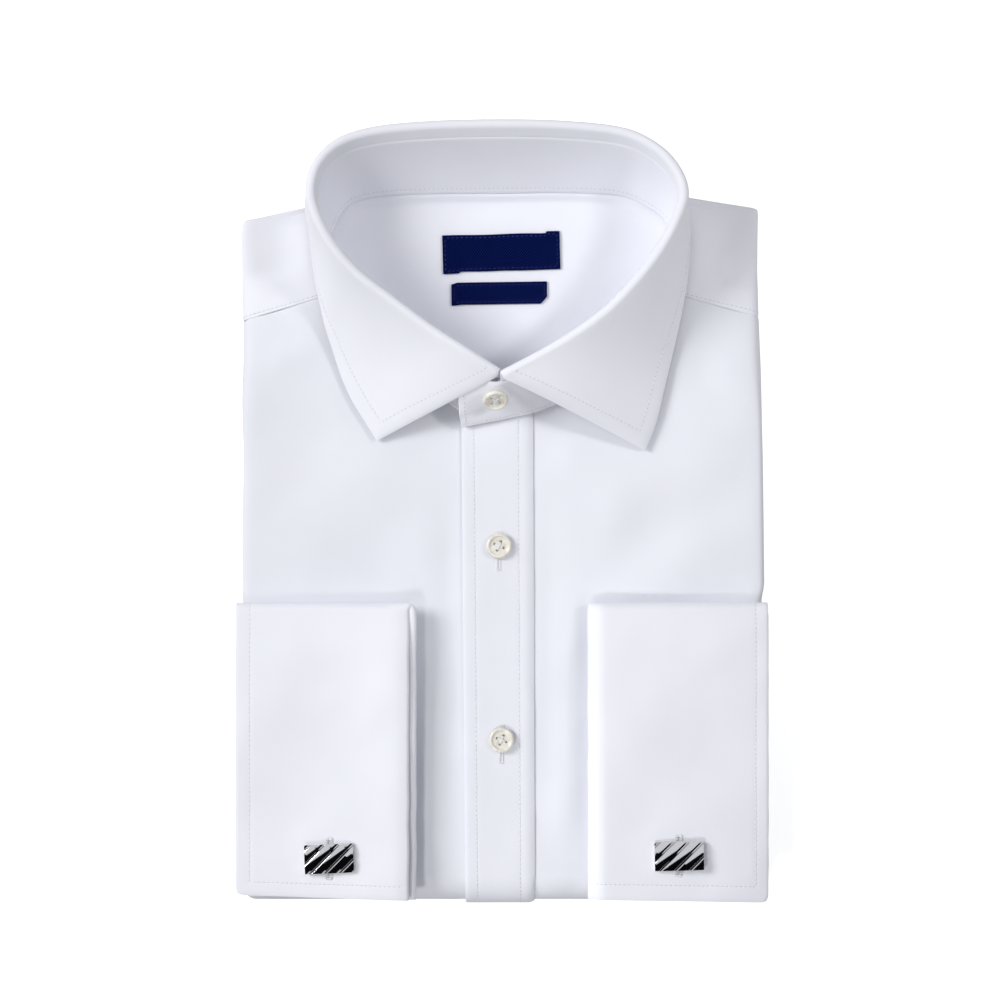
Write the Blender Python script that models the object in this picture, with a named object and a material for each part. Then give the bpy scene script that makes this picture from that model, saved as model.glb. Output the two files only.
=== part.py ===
"""Long sleeve dress shirt, folded and laid on its back.

Every piece is a wall of cloth on the form it takes in the folded packet. The
packet lies on z = 0 with the collar toward +Y. All lengths in the tables are
millimetres; `finish` turns them into metres.

The packet is two halves. The upper half (chest, shoulders, collar) lies on the
lower half (tail), and the two join in the bottom roll. Depth is measured from
the outer face of the fronts into the packet.
"""

import math

import bpy
import numpy as np

for old in list(bpy.data.objects):
    bpy.data.objects.remove(old, do_unlink=True)

MM = 0.001

# ---------------------------------------------------------------- sizes, in mm
PACKET = 22.0            # height of the packet at the chest
MIDDLE = PACKET / 2      # height of the slit between the halves
SLIT = 0.4               # each half stops this far from the middle
ROLL_Y = -156.4          # where the bottom roll begins
TAIL_Y = 38.0            # where the folded tail ends, on the underside
CLOTH = 1.0              # wall of the fronts, yoke and back
GAP = 0.3                # between pieces that touch
SIDE_R = (PACKET - MIDDLE - SLIT) / 2
LIP = 15.0               # how far the fronts turn in under the side rolls
EDGE_LEFT = 112.0        # side edge on the wearer's right
EDGE_RIGHT = 112.6       # side edge on the wearer's left, below the shoulder
EDGE_RIGHT_TOP = 110.4   # the same at the shoulder
STAND_T = 1.8
LEAF_T = 1.6
FOLD_R = 1.5             # radius of the collar's fold line
FOLD_LEG = 4.4           # the leaf reaches this far down inside the stand's rim
PLACKET_T = 1.2
PLACKET_LIFT = 1.5       # outer face of the placket above the fronts
PLACKET_LEFT = (-17.5, -15.8)    # free edge at the neck and at the bottom roll
PLACKET_RIGHT = (13.4, 14.2)
OVERLAP_X = 11.0         # the two fronts end here, under the placket
BUTTON_D = 11.0
BUTTON_T = 2.3
CUFF_T = 1.1
CUFF_TOP = (36.2, 32.2)   # outer face of the cuffs, at the hand end and at the turned-back edge
CUFF_LAYER = 1.65        # from one layer of the turned-back cuff to the next
SHIFT = (-0.3, 0.2)      # plan shift that puts the packet's box on the origin

# Collar: one row per station round the neck, from the wearer's right front end
# to the left one. seam = foot of the stand, cloth = height of the body there,
# fold = top of the collar, edge = outer edge of the leaf.
#        seam x, y, z            cloth   fold x, y, z             edge x, y, z
COLLAR = [
    ((-2.0, 44.4, 22.9), 20.0, (-3.2, 64.2, 44.8), (-53.8, 32.0, 24.5)),
    ((-16.6, 44.4, 23.4), 21.0, (-14.5, 69.8, 46.2), (-59.4, 41.0, 24.5)),
    ((-31.2, 56.4, 23.2), 21.8, (-30.6, 80.0, 47.5), (-64.6, 49.6, 24.5)),
    ((-45.2, 67.3, 23.1), 21.7, (-47.5, 92.6, 48.7), (-68.9, 59.1, 24.4)),
    ((-58.6, 77.2, 23.0), 21.6, (-61.4, 103.5, 50.0), (-72.8, 71.1, 24.3)),
    ((-68.1, 89.3, 22.5), 21.2, (-72.4, 116.1, 51.8), (-76.7, 84.1, 23.8)),
    ((-73.3, 105.8, 21.0), 19.7, (-79.5, 129.6, 53.0), (-80.6, 103.5, 22.8)),
    ((-74.3, 118.0, 19.3), 18.0, (-81.2, 139.7, 53.0), (-83.3, 123.1, 20.2)),
    ((-71.3, 128.0, 18.0), 16.7, (-77.9, 150.5, 51.0), (-85.0, 137.2, 12.5)),
    ((-64.9, 135.0, 16.5), 15.2, (-68.7, 159.2, 48.5), (-78.4, 146.0, 5.5)),
    ((-52.8, 138.1, 15.7), 14.4, (-53.9, 164.0, 46.6), (-61.1, 150.0, 2.8)),
    ((-30.3, 139.2, 15.4), 14.2, (-30.6, 166.4, 45.8), (-32.7, 151.2, 2.2)),
    ((-0.9, 139.4, 15.4), 14.2, (-0.9, 167.2, 45.6), (-0.9, 151.7, 2.0)),
    ((26.4, 139.7, 15.4), 14.2, (26.7, 166.5, 45.8), (29.2, 151.2, 2.2)),
    ((49.8, 138.6, 15.6), 14.3, (50.9, 163.6, 46.8), (56.7, 149.6, 2.8)),
    ((61.8, 134.2, 16.6), 15.3, (64.8, 157.0, 48.8), (72.3, 145.4, 5.5)),
    ((70.9, 127.5, 18.2), 16.9, (73.6, 147.5, 51.0), (78.9, 138.3, 12.5)),
    ((75.6, 116.2, 19.4), 18.1, (76.9, 136.8, 53.0), (80.9, 124.0, 20.0)),
    ((74.6, 101.0, 21.0), 19.7, (73.1, 125.3, 53.0), (80.2, 106.5, 22.7)),
    ((68.1, 87.2, 22.4), 21.1, (66.4, 113.2, 51.8), (77.9, 91.0, 23.7)),
    ((57.7, 73.8, 22.9), 21.5, (56.3, 100.1, 50.6), (75.3, 78.0, 24.2)),
    ((45.2, 61.7, 23.0), 21.6, (44.5, 87.9, 49.6), (72.3, 65.1, 24.4)),
    ((31.0, 51.8, 23.2), 21.8, (30.9, 77.8, 48.6), (69.3, 52.2, 24.5)),
    ((15.1, 44.9, 24.4), 21.9, (16.1, 68.9, 47.6), (66.3, 39.7, 24.5)),
    ((0.6, 41.6, 24.7), 21.9, (1.4, 60.2, 46.7), (62.8, 28.1, 24.5)),
]
# The stand runs on past the leaf at both ends: under on the wearer's right,
# over on the left, where its end carries the buttonhole.
#              seam x, y, z           rim x, y, z
STAND_UNDER = ((9.5, 46.8, 22.4), (10.5, 63.6, 38.2))
STAND_OVER = [
    ((-7.3, 40.0, 24.8), (-7.2, 53.9, 41.2)),
    ((-13.5, 38.9, 24.9), (-14.2, 52.3, 39.9)),
    ((-17.4, 38.5, 25.1), (-18.2, 50.0, 37.8)),
]
# Side and shoulder outline of the yoke, matched by row to where it starts at
# the neck, and where it ends on the back.
#       neck station   outline x, y       back x, y
YOKE = [
    (5.42, (-111.9, 83.9), (-99.0, 84.4)),
    (5.8, (-111.9, 92.0), (-93.0, 84.4)),
    (6.3, (-111.8, 104.0), (-86.6, 84.4)),
    (6.8, (-111.6, 116.0), (-80.0, 76.0)),
    (7.1, (-111.0, 121.5), (-75.0, 76.0)),
    (7.4, (-108.5, 125.6), (-70.0, 76.0)),
    (7.7, (-104.0, 128.4), (-64.0, 76.0)),
    (8.1, (-95.0, 131.3), (-56.0, 76.0)),
    (8.6, (-84.0, 134.0), (-48.0, 76.0)),
    (9.2, (-72.0, 138.6), (-40.0, 76.0)),
    (10.0, (-55.0, 142.6), (-31.0, 76.0)),
    (11.0, (-30.5, 143.8), (-18.0, 76.0)),
    (12.0, (-0.9, 144.0), (-0.9, 76.0)),
    (13.0, (26.5, 144.0), (18.0, 76.0)),
    (14.0, (52.0, 143.0), (31.0, 76.0)),
    (14.8, (69.0, 139.8), (40.0, 76.0)),
    (15.4, (80.5, 138.0), (48.0, 76.0)),
    (15.9, (92.0, 136.2), (56.0, 76.0)),
    (16.3, (102.0, 134.0), (64.0, 76.0)),
    (16.6, (107.2, 131.4), (70.0, 76.0)),
    (16.9, (109.8, 127.4), (76.0, 76.0)),
    (17.2, (110.6, 121.0), (79.0, 76.0)),
    (17.6, (111.0, 108.0), (86.0, 86.2)),
    (18.0, (111.2, 96.0), (93.0, 86.2)),
    (18.36, (111.3, 85.7), (99.0, 86.2)),
]
# Where each front ends under the collar and at the yoke seam: x, y.
FRONT_TOP_LEFT = [(-112.0, 83.2), (-71.2, 95.5), (-68.5, 89.3), (-58.6, 77.2),
                  (-45.2, 67.3), (-31.2, 56.4), (-16.8, 44.0), (-2.0, 43.0),
                  (12.0, 43.0)]
FRONT_TOP_RIGHT = [(11.0, 43.0), (15.1, 44.9), (31.0, 51.8), (45.2, 61.7),
                   (57.7, 73.8), (68.6, 87.2), (72.9, 95.3), (112.0, 84.9)]
# Cuffs: hand = fold at the hand end (upper layer), under = the same fold of the
# lower layer, free = turned-back edge, top and bottom = their ends in y.
CUFFS = {
    "cuff_right": dict(side=-1, hand=40.3, under=37.2, free=114.3, top=-37.6, bottom=-163.3),
    "cuff_left": dict(side=1, hand=37.2, under=38.2, free=114.1, top=-37.4, bottom=-164.9),
}
LINKS = {
    "cufflink_right": dict(x=-73.9, y=-146.7, turn=2.4, cuff="cuff_right"),
    "cufflink_left": dict(x=75.7, y=-145.5, turn=1.4, cuff="cuff_left"),
}
LINK_FACE = (21.0, 12.4, 2.4)
LINK_POST_D = 1.8
LINK_TOGGLE = (2.6, 14.0)     # diameter, length
CUFF_LIFT = 2.8               # how far the link's bar lifts the lower half of the cuff
HOLE = (2.6, 17.0)            # buttonhole of the cuff: width, length
# Labels on the inside yoke: centre x, y, width, height, turn in degrees.
LABELS = {
    "label_main": (-0.3, 113.7, 50.8, 15.9, 1.5),
    "label_small": (-1.2, 96.1, 41.4, 9.6, 0.8),
}
BUTTONS = {
    "button_front_1": (-1.3, -13.2),
    "button_front_2": (-0.2, -96.7),
}

# ------------------------------------------------------------------- materials
#             base colour              roughness metallic
COTTON = ("cotton_white", (0.86, 0.87, 0.90), 0.85, 0.0)
PEARL = ("button_pearl", (0.84, 0.80, 0.72), 0.25, 0.0)
NAVY = ("label_navy", (0.012, 0.016, 0.085), 0.6, 0.0)
CHROME = ("cufflink_metal", (0.78, 0.78, 0.80), 0.12, 1.0)


def material(spec):
    name, colour, rough, metal = spec
    found = bpy.data.materials.get(name)
    if found:
        return found
    made = bpy.data.materials.new(name)
    made.use_nodes = True
    shader = made.node_tree.nodes["Principled BSDF"]
    shader.inputs["Base Color"].default_value = (*colour, 1.0)
    shader.inputs["Roughness"].default_value = rough
    shader.inputs["Metallic"].default_value = metal
    return made


# ---------------------------------------------------------------------- forms
def smooth(t):
    t = min(1.0, max(0.0, t))
    return t * t * (3 - 2 * t)


def mix(a, b, t):
    return a + (b - a) * t


def at(table, x):
    """Linear interpolation in a table of (x, y) rows."""
    return float(np.interp(x, [row[0] for row in table], [row[1] for row in table]))


RING_CENTRE = (0.0, 95.0)


def ring_table():
    rows = []
    for seam, cloth, _, _ in COLLAR[1:]:
        dx, dy = seam[0] - RING_CENTRE[0], seam[1] - RING_CENTRE[1]
        angle = math.atan2(dx, -dy)
        rows.append((angle, math.hypot(dx, dy), cloth))
    rows.sort()
    rows = [(rows[-1][0] - 2 * math.pi, *rows[-1][1:])] + rows + [(rows[0][0] + 2 * math.pi, *rows[0][1:])]
    return np.array(rows)


RING = ring_table()


def ring(x, y):
    """Distance from the ring's centre over the ring's own radius, that radius, and the cloth's height at the ring."""
    dx, dy = x - RING_CENTRE[0], y - RING_CENTRE[1]
    angle = math.atan2(dx, -dy)
    radius = float(np.interp(angle, RING[:, 0], RING[:, 1]))
    cloth = float(np.interp(angle, RING[:, 0], RING[:, 2]))
    return math.hypot(dx, dy) / radius, radius, cloth


def shoulder_fall(y):
    return 10.2 * smooth((y - 58) / 74)


def top_height(x, y):
    """Outer face of the upper half, outside the neck."""
    base = PACKET - shoulder_fall(y)
    share, radius, cloth = ring(x, y)
    near = 1 - smooth(max(0.0, share - 1) * radius / 30)
    return mix(base, cloth, near)


def rest_height(y):
    """Outer face of the back of the upper half: on the tail, then down to the table."""
    return (MIDDLE + SLIT) * (1 - smooth((y - TAIL_Y) / 36))


def edge_x(side, y):
    if side < 0:
        return EDGE_LEFT
    return mix(EDGE_RIGHT, EDGE_RIGHT_TOP, smooth((y + 40) / 170))


def section(side, a, y, depth):
    """A point of the upper half at distance a from the middle line, measured over the side roll."""
    edge = edge_x(side, y)
    high = PACKET - shoulder_fall(y)
    r = (high - rest_height(y)) / 2
    flat = edge - r
    if a <= flat:
        return side * a, top_height(side * a, y) - depth
    turn = (a - flat) / r
    if turn <= math.pi:
        lift = top_height(side * flat, y) - high
        lift *= 1 - smooth(turn / math.pi)
        return side * (flat + (r - depth) * math.sin(turn)), high - r + (r - depth) * math.cos(turn) + lift
    return side * (flat - (a - flat - math.pi * r)), rest_height(y) + depth


def bend(x, z, s):
    """Carries a section's point through the bottom roll; s is the way past its start."""
    depth = PACKET - z
    angle = s / MIDDLE
    radius = MIDDLE - depth
    if angle <= math.pi:
        return x, ROLL_Y - radius * math.sin(angle), MIDDLE + radius * math.cos(angle)
    return x, ROLL_Y + (s - math.pi * MIDDLE), depth


def packet(side, a, y, s, depth):
    """s < 0: on the upper half at y. s >= 0: past the start of the bottom roll."""
    if s <= 0:
        x, z = section(side, a, y, depth)
        return x, y, z
    x, z = section(side, a, ROLL_Y, depth)
    return bend(x, z, s)


ROLL_STEPS = [MIDDLE * math.pi * k / 7 for k in range(1, 8)]
UNDER = TAIL_Y - ROLL_Y
UNDER_STEPS = [MIDDLE * math.pi + UNDER * f for f in (0.3, 0.65, 1.0)]


def roll_share(s):
    """0 up to the front of the bottom roll, 1 on the underside."""
    return smooth((s / MIDDLE - math.pi / 2) / (math.pi / 2))


# ---------------------------------------------------------------- mesh builders
def finish(name, verts, faces, spec, round_off=False):
    mesh = bpy.data.meshes.new(name)
    mesh.from_pydata([((x + SHIFT[0]) * MM, (y + SHIFT[1]) * MM, z * MM) for x, y, z in verts], [], faces)
    mesh.update()
    obj = bpy.data.objects.new(name, mesh)
    bpy.context.scene.collection.objects.link(obj)
    mesh.materials.append(material(spec))
    if round_off:
        mesh.polygons.foreach_set("use_smooth", [True] * len(mesh.polygons))
    return obj


def between(outer, inner, keep=None, closed=False):
    """A wall between two grids of points. keep(i, j) says which cells it has; closed joins the last column to the first."""
    outer, inner = np.asarray(outer, float), np.asarray(inner, float)
    rows, cols = outer.shape[:2]
    cells = cols if closed else cols - 1
    on = {(i, j) for i in range(rows - 1) for j in range(cells) if keep is None or keep(i, j)}
    number, verts = {}, []

    def vert(layer, i, j):
        key = (layer, i, j % cols)
        if key not in number:
            number[key] = len(verts)
            verts.append(tuple((outer if layer == 0 else inner)[i, j % cols]))
        return number[key]

    def wrap(j):
        return j % cols if closed else j

    faces = []
    for i, j in sorted(on):
        ring4 = [(i, j), (i, j + 1), (i + 1, j + 1), (i + 1, j)]
        faces.append([vert(0, *p) for p in ring4])
        faces.append([vert(1, *p) for p in reversed(ring4)])
        for (a, b), other in zip(zip(ring4, ring4[1:] + ring4[:1]), ((i - 1, j), (i, wrap(j + 1)), (i + 1, j), (i, wrap(j - 1)))):
            if other not in on:
                faces.append([vert(0, *b), vert(0, *a), vert(1, *a), vert(1, *b)])
    return verts, faces


def thicken(middle, wall, closed=False):
    """Outer and inner grids, half a wall each side of a grid of middle points."""
    mid = np.asarray(middle, float)
    rows, cols = mid.shape[:2]
    normal = np.zeros_like(mid)
    for i in range(rows):
        for j in range(cols):
            up, down = mid[min(i + 1, rows - 1), j], mid[max(i - 1, 0), j]
            if closed:
                right, left = mid[i, (j + 1) % cols], mid[i, (j - 1) % cols]
            else:
                right, left = mid[i, min(j + 1, cols - 1)], mid[i, max(j - 1, 0)]
            n = np.cross(right - left, up - down)
            normal[i, j] = n / (np.linalg.norm(n) or 1.0)
    return mid + normal * wall / 2, mid - normal * wall / 2


def right_way(verts, faces):
    """Turns the faces outward, by the sign of the volume."""
    v = np.asarray(verts)
    volume = 0.0
    for face in faces:
        for k in range(1, len(face) - 1):
            volume += np.dot(v[face[0]], np.cross(v[face[k]], v[face[k + 1]]))
    return faces if volume > 0 else [list(reversed(face)) for face in faces]


def wall(name, outer, inner, spec, keep=None, closed=False):
    verts, faces = between(outer, inner, keep, closed)
    return finish(name, verts, right_way(verts, faces), spec, True)


# ----------------------------------------------------------------- the fronts
def placket_x(s_or_y, edges):
    share = min(1.0, max(0.0, (43 - s_or_y) / (43 - ROLL_Y)))
    return mix(edges[0], edges[1], share)


def front(name, side, top, inner_x):
    """One front: from under the placket out over the side roll, down through the bottom roll to the tail."""
    flats = {-1: [2.0, 16.4, 19.0, 31.2, 45.2, 58.6, 68.5, 71.2, 86.0],
             1: [14.9, 15.9, 31.0, 45.2, 57.7, 68.6, 72.9, 86.0]}[side]
    flats = [inner_x * side] + flats

    def lane(y):
        r = (PACKET - shoulder_fall(y) - rest_height(y)) / 2
        flat = edge_x(side, y) - r
        return flats + [flat] + [flat + r * math.pi * f for f in (0.2, 0.4, 0.6, 0.8, 1.0)] + [flat + r * math.pi + LIP]

    shares = (0.0, 0.06, 0.13, 0.2, 0.3, 0.45, 0.65, 0.85, 1.0)

    def row(share, s, depth):
        points = []
        count = len(flats)
        reach = edge_x(side, 84.0)
        turns = [reach - 9.8 * (1 - math.sin(math.pi * f)) for f in (0.0, 0.2, 0.4, 0.5, 0.5, 0.5, 0.5)]
        for k in range(count + 7):
            head = at(top, side * (flats[k] if k < count else turns[k - count]))
            y = mix(head, ROLL_Y, share)
            a = lane(y)[k]
            extra = 0.0
            if s > 0 and a < (17.5 if side < 0 else 15.2):
                extra = PLACKET_LIFT * roll_share(s)
            points.append(packet(side, a, y, s, depth + extra))
        return points

    def grid(depth):
        return [row(share, 0, depth) for share in shares] + [row(1.0, s, depth) for s in ROLL_STEPS + UNDER_STEPS]

    return wall(name, grid(0.0), grid(CLOTH), COTTON)


front("front_right", -1, FRONT_TOP_LEFT, OVERLAP_X)
front("front_left", 1, FRONT_TOP_RIGHT, OVERLAP_X + 0.6)


def placket():
    """The button strip, on both fronts, flush with the underside where the packet rests."""
    tops = (at([(-17.5, 39.5), (-2.0, 41.4), (13.4, 44.2)], x) for x in (-17.5, -10.0, -1.5, 6.0, 13.4))
    heads = list(tops)

    def row(share, s, depth):
        out = []
        for k, head in enumerate(heads):
            y = mix(head, ROLL_Y, share)
            x = mix(placket_x(y, PLACKET_LEFT), placket_x(y, PLACKET_RIGHT), k / 4)
            lift = -PLACKET_LIFT * (1 - roll_share(s) if s > 0 else 1)
            high = top_height(x, y)
            if s > 0:
                out.append(bend(x, PACKET - lift - depth, s))
            else:
                out.append((x, y, high - lift - depth))
        return out

    def grid(depth):
        shares = (0.0, 0.06, 0.14, 0.25, 0.4, 0.6, 0.8, 1.0)
        return [row(f, 0, depth) for f in shares] + [row(1.0, s, depth) for s in ROLL_STEPS + UNDER_STEPS]

    return wall("placket", grid(0.0), grid(PLACKET_T), COTTON)


placket()


# -------------------------------------------------------------------- the yoke
def collar_at(station, column):
    """A column of COLLAR (0 seam, 2 fold, 3 edge) at a fractional station, or the cloth height for column 1."""
    k = min(int(station), len(COLLAR) - 2)
    f = station - k
    a, b = COLLAR[k][column], COLLAR[k + 1][column]
    if column == 1:
        return mix(a, b, f)
    return tuple(mix(p, q, f) for p, q in zip(a, b))


def outward(x, y, by):
    dx, dy = x - RING_CENTRE[0], y - RING_CENTRE[1]
    length = math.hypot(dx, dy)
    return x + dx / length * by, y + dy / length * by


def yoke_outer():
    """The outside yoke: from the neck and the front seams over the shoulders to the seam with the back."""
    outer, inner = [], []
    for station, (ex, ey), (bx, by) in YOKE:
        sx, sy, _ = collar_at(station, 0)
        nx, ny = outward(sx, sy, 0.3)
        away = math.hypot(ex - nx, ey - ny)
        ux, uy = (ex - nx) / away, (ey - ny) / away
        end_high = min(top_height(ex, ey), 14.2 if away < 12 else 99.0)
        if ey > 100 and away >= 12:
            end_high = min(end_high, 13.6)
        r = min(end_high / 2, away - 0.6)
        cx, cy = ex - ux * r, ey - uy * r
        bl = math.hypot(bx - cx, by - cy)
        for rows, depth in ((outer, 0.0), (inner, CLOTH)):
            line = []
            for f in (0.0, 0.12, 0.35, 0.65, 1.0):
                x, y = mix(nx, cx, f), mix(ny, cy, f)
                z = top_height(x, y)
                z = mix(z, end_high, smooth(max(0.0, f - 0.3) / 0.7)) - depth
                line.append((x, y, z))
            for turn in (0.25, 0.5, 0.75, 1.0):
                t = turn * math.pi
                reach = (r - depth) * math.sin(t)
                line.append((cx + ux * reach, cy + uy * reach, end_high / 2 + (end_high / 2 - depth) * math.cos(t)))
            for f in (0.5, 1.0):
                x, y = mix(cx, bx, f), mix(cy, by, f)
                line.append((x, y, depth))
            rows.append(line)
    return wall("yoke_outer", outer, inner, COTTON)


yoke_outer()


def neck_floor(x, y):
    """Outer face of the inside yoke, seen through the neck."""
    share, _, cloth = ring(x, y)
    return mix(cloth - 0.2, 15.0, smooth((1 - share) / 0.34))


NECK_SIDES = [(50.5, -22.5, 26.5), (56.4, -30.0, 36.0), (67.3, -44.3, 49.6), (77.2, -57.4, 59.0),
              (89.3, -67.0, 68.3), (105.8, -72.4, 74.0), (118.0, -73.4, 74.4),
              (128.0, -70.3, 69.4), (135.0, -63.4, 58.6), (137.0, -55.3, 53.0), (138.2, -43.0, 44.0)]


def yoke_inner():
    def row(y, left, right, depth):
        return [(x, y, neck_floor(x, y) - depth) for x in (mix(left, right, k / 9) for k in range(10))]

    rows = [NECK_SIDES[k] for k in range(len(NECK_SIDES))]
    return wall("yoke_inner", [row(*r, 0.0) for r in rows], [row(*r, CLOTH) for r in rows], COTTON)


yoke_inner()


def back():
    """The back, below the yoke seam, running in above the tail."""
    def row(y, depth):
        half = [edge_x(side, y) - (PACKET - shoulder_fall(y) - rest_height(y)) / 2 - LIP - 0.8 for side in (-1, 1)]
        return [(mix(-half[0], half[1], f), y, rest_height(y) + depth) for f in (0.0, 0.33, 0.66, 1.0)]

    rows = (75.6, 68.0, 58.0, 48.0, 42.0, 38.0, 24.0)
    return wall("back", [row(y, 0.0) for y in rows], [row(y, CLOTH) for y in rows], COTTON)


back()


def inner_layers():
    """The layers that stay hidden, as one rounded solid between the walls, in the packet's own fold."""
    clear = CLOTH + GAP
    flats = [-1.0, -0.82, -0.66, -0.5, -0.33, -0.16, 0.0, 0.16, 0.33, 0.5, 0.66, 0.82, 1.0]

    def line(y, s, deep):
        high = PACKET - shoulder_fall(y) if s <= 0 else PACKET
        low = rest_height(y) if s <= 0 else MIDDLE + SLIT
        if s <= 0:
            deep += 1.1 * smooth((y - 14) / 18) + 0.8 * smooth((y - 80) / 12)
        r = (high - low) / 2 - deep
        half = min(edge_x(-1, y), edge_x(1, y)) - deep - r - (9.0 * smooth((y - 92) / 30) if s <= 0 else 0.0)
        ring_points = []
        for f in flats:
            x = f * half
            z = top_height(x, y) - deep
            if s <= 0 and ring(x, y)[0] < 1.15:
                z = min(z, neck_floor(x, y) - clear - 1.2 - 1.8 * smooth((y - 56) / 12))
            ring_points.append((x, z))
        mid = (high + low) / 2
        for k in (1, 2, 3):
            t = math.pi * k / 4
            ring_points.append((half + r * math.sin(t), mid + r * math.cos(t)))
        for f in (1.0, 0.5, 0.0, -0.5, -1.0):
            ring_points.append((f * half, low + deep))
        for k in (3, 2, 1):
            t = math.pi * k / 4
            ring_points.append((-half - r * math.sin(t), mid + r * math.cos(t)))
        if s <= 0:
            return [(x, y, z) for x, z in ring_points]
        return [bend(x, z, s) for x, z in ring_points]

    ys = (121.0, 115.0, 104.0, 92.0, 80.0, 68.0, 58.0, 48.0, 42.0, 38.0, 24.0, -40.0, ROLL_Y)
    lines = [line(y, 0, clear) for y in ys]
    lines += [line(ROLL_Y, s, mix(clear, clear + PLACKET_LIFT, roll_share(s))) for s in ROLL_STEPS]
    lines += [line(ROLL_Y, s, clear + PLACKET_LIFT) for s in (UNDER_STEPS[0], UNDER_STEPS[1], UNDER_STEPS[2] - 4)]
    count = len(lines[0])
    verts = [p for row in lines for p in row]
    faces = []
    for i in range(len(lines) - 1):
        for j in range(count):
            k = (j + 1) % count
            faces.append([i * count + j, i * count + k, (i + 1) * count + k, (i + 1) * count + j])
    faces.append(list(reversed(range(count))))
    faces.append([(len(lines) - 1) * count + j for j in range(count)])
    return finish("inner_layers", verts, right_way(verts, faces), COTTON, True)


inner_layers()


# ------------------------------------------------------------------ the collar
def unit(v):
    return v / np.linalg.norm(v)


def collar_frame(k):
    seam, _, fold, edge = (np.array(c, float) for c in COLLAR[k])
    up = unit(fold - seam)
    along = np.array(COLLAR[min(k + 1, len(COLLAR) - 1)][2]) - np.array(COLLAR[max(k - 1, 0)][2])
    out = unit(np.cross(up, along))
    if np.dot(out, fold - np.array([*RING_CENTRE, fold[2]])) < 0:
        out = -out
    return seam, fold, edge, up, out


def stand_rim(k):
    _, fold, _, up, out = collar_frame(k)
    return fold - FOLD_R * out - (FOLD_R + FOLD_LEG + GAP + 0.1) * up


def collar_stand():
    rows = [(np.array(STAND_UNDER[0]), np.array(STAND_UNDER[1]))]
    rows += [(np.array(COLLAR[k][0], float), stand_rim(k)) for k in range(len(COLLAR))]
    rows += [(np.array(a), np.array(b)) for a, b in STAND_OVER]
    grid = []
    for seam, rim in rows:
        centre = np.array([*RING_CENTRE, seam[2]])
        away = unit(np.array([seam[0] - centre[0], seam[1] - centre[1], 0.0]))
        grid.append([mix(seam, rim, t) + away * 1.1 * math.sin(math.pi * t) for t in (0, 0.25, 0.5, 0.75, 1.0)])
    outer, inner = thicken(grid, STAND_T)
    return wall("collar_stand", outer, inner, COTTON)


def collar_leaf():
    grid = []
    for k in range(len(COLLAR)):
        _, fold, edge, up, out = collar_frame(k)
        centre = fold - FOLD_R * up
        line = [centre - FOLD_R * out - FOLD_LEG * up]
        for step in range(5):
            t = math.pi * step / 4
            line.append(centre - FOLD_R * out * math.cos(t) + FOLD_R * up * math.sin(t))
        start = line[-1]
        reach = np.linalg.norm(edge - start)
        ease = smooth(min(k, len(COLLAR) - 1 - k) / 3)
        control = start + mix((edge - start) * 0.33, -up * reach * 0.30, ease)
        for t in (0.15, 0.35, 0.58, 0.8, 1.0):
            line.append((1 - t) ** 2 * start + 2 * t * (1 - t) * control + t * t * edge)
        grid.append(line)
    outer, inner = thicken(grid, LEAF_T)
    return wall("collar_leaf", outer, inner, COTTON)


collar_stand()
collar_leaf()


# ------------------------------------------------------- the sleeves and cuffs
def cuff_floor(x, y):
    """Outer face of the cuff's lower half: on the front, then lifted by the link's bar."""
    return 22.6 + CUFF_LIFT * smooth((-y - 90) / 42) * (1 - smooth((abs(abs(x) - 74) - 8) / 22))


def cuff_top(x):
    """Outer face of the cuff's upper half: highest at the hand end."""
    return mix(CUFF_TOP[0], CUFF_TOP[1], min(1.0, max(0.0, (abs(x) - 40) / 74)))


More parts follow.
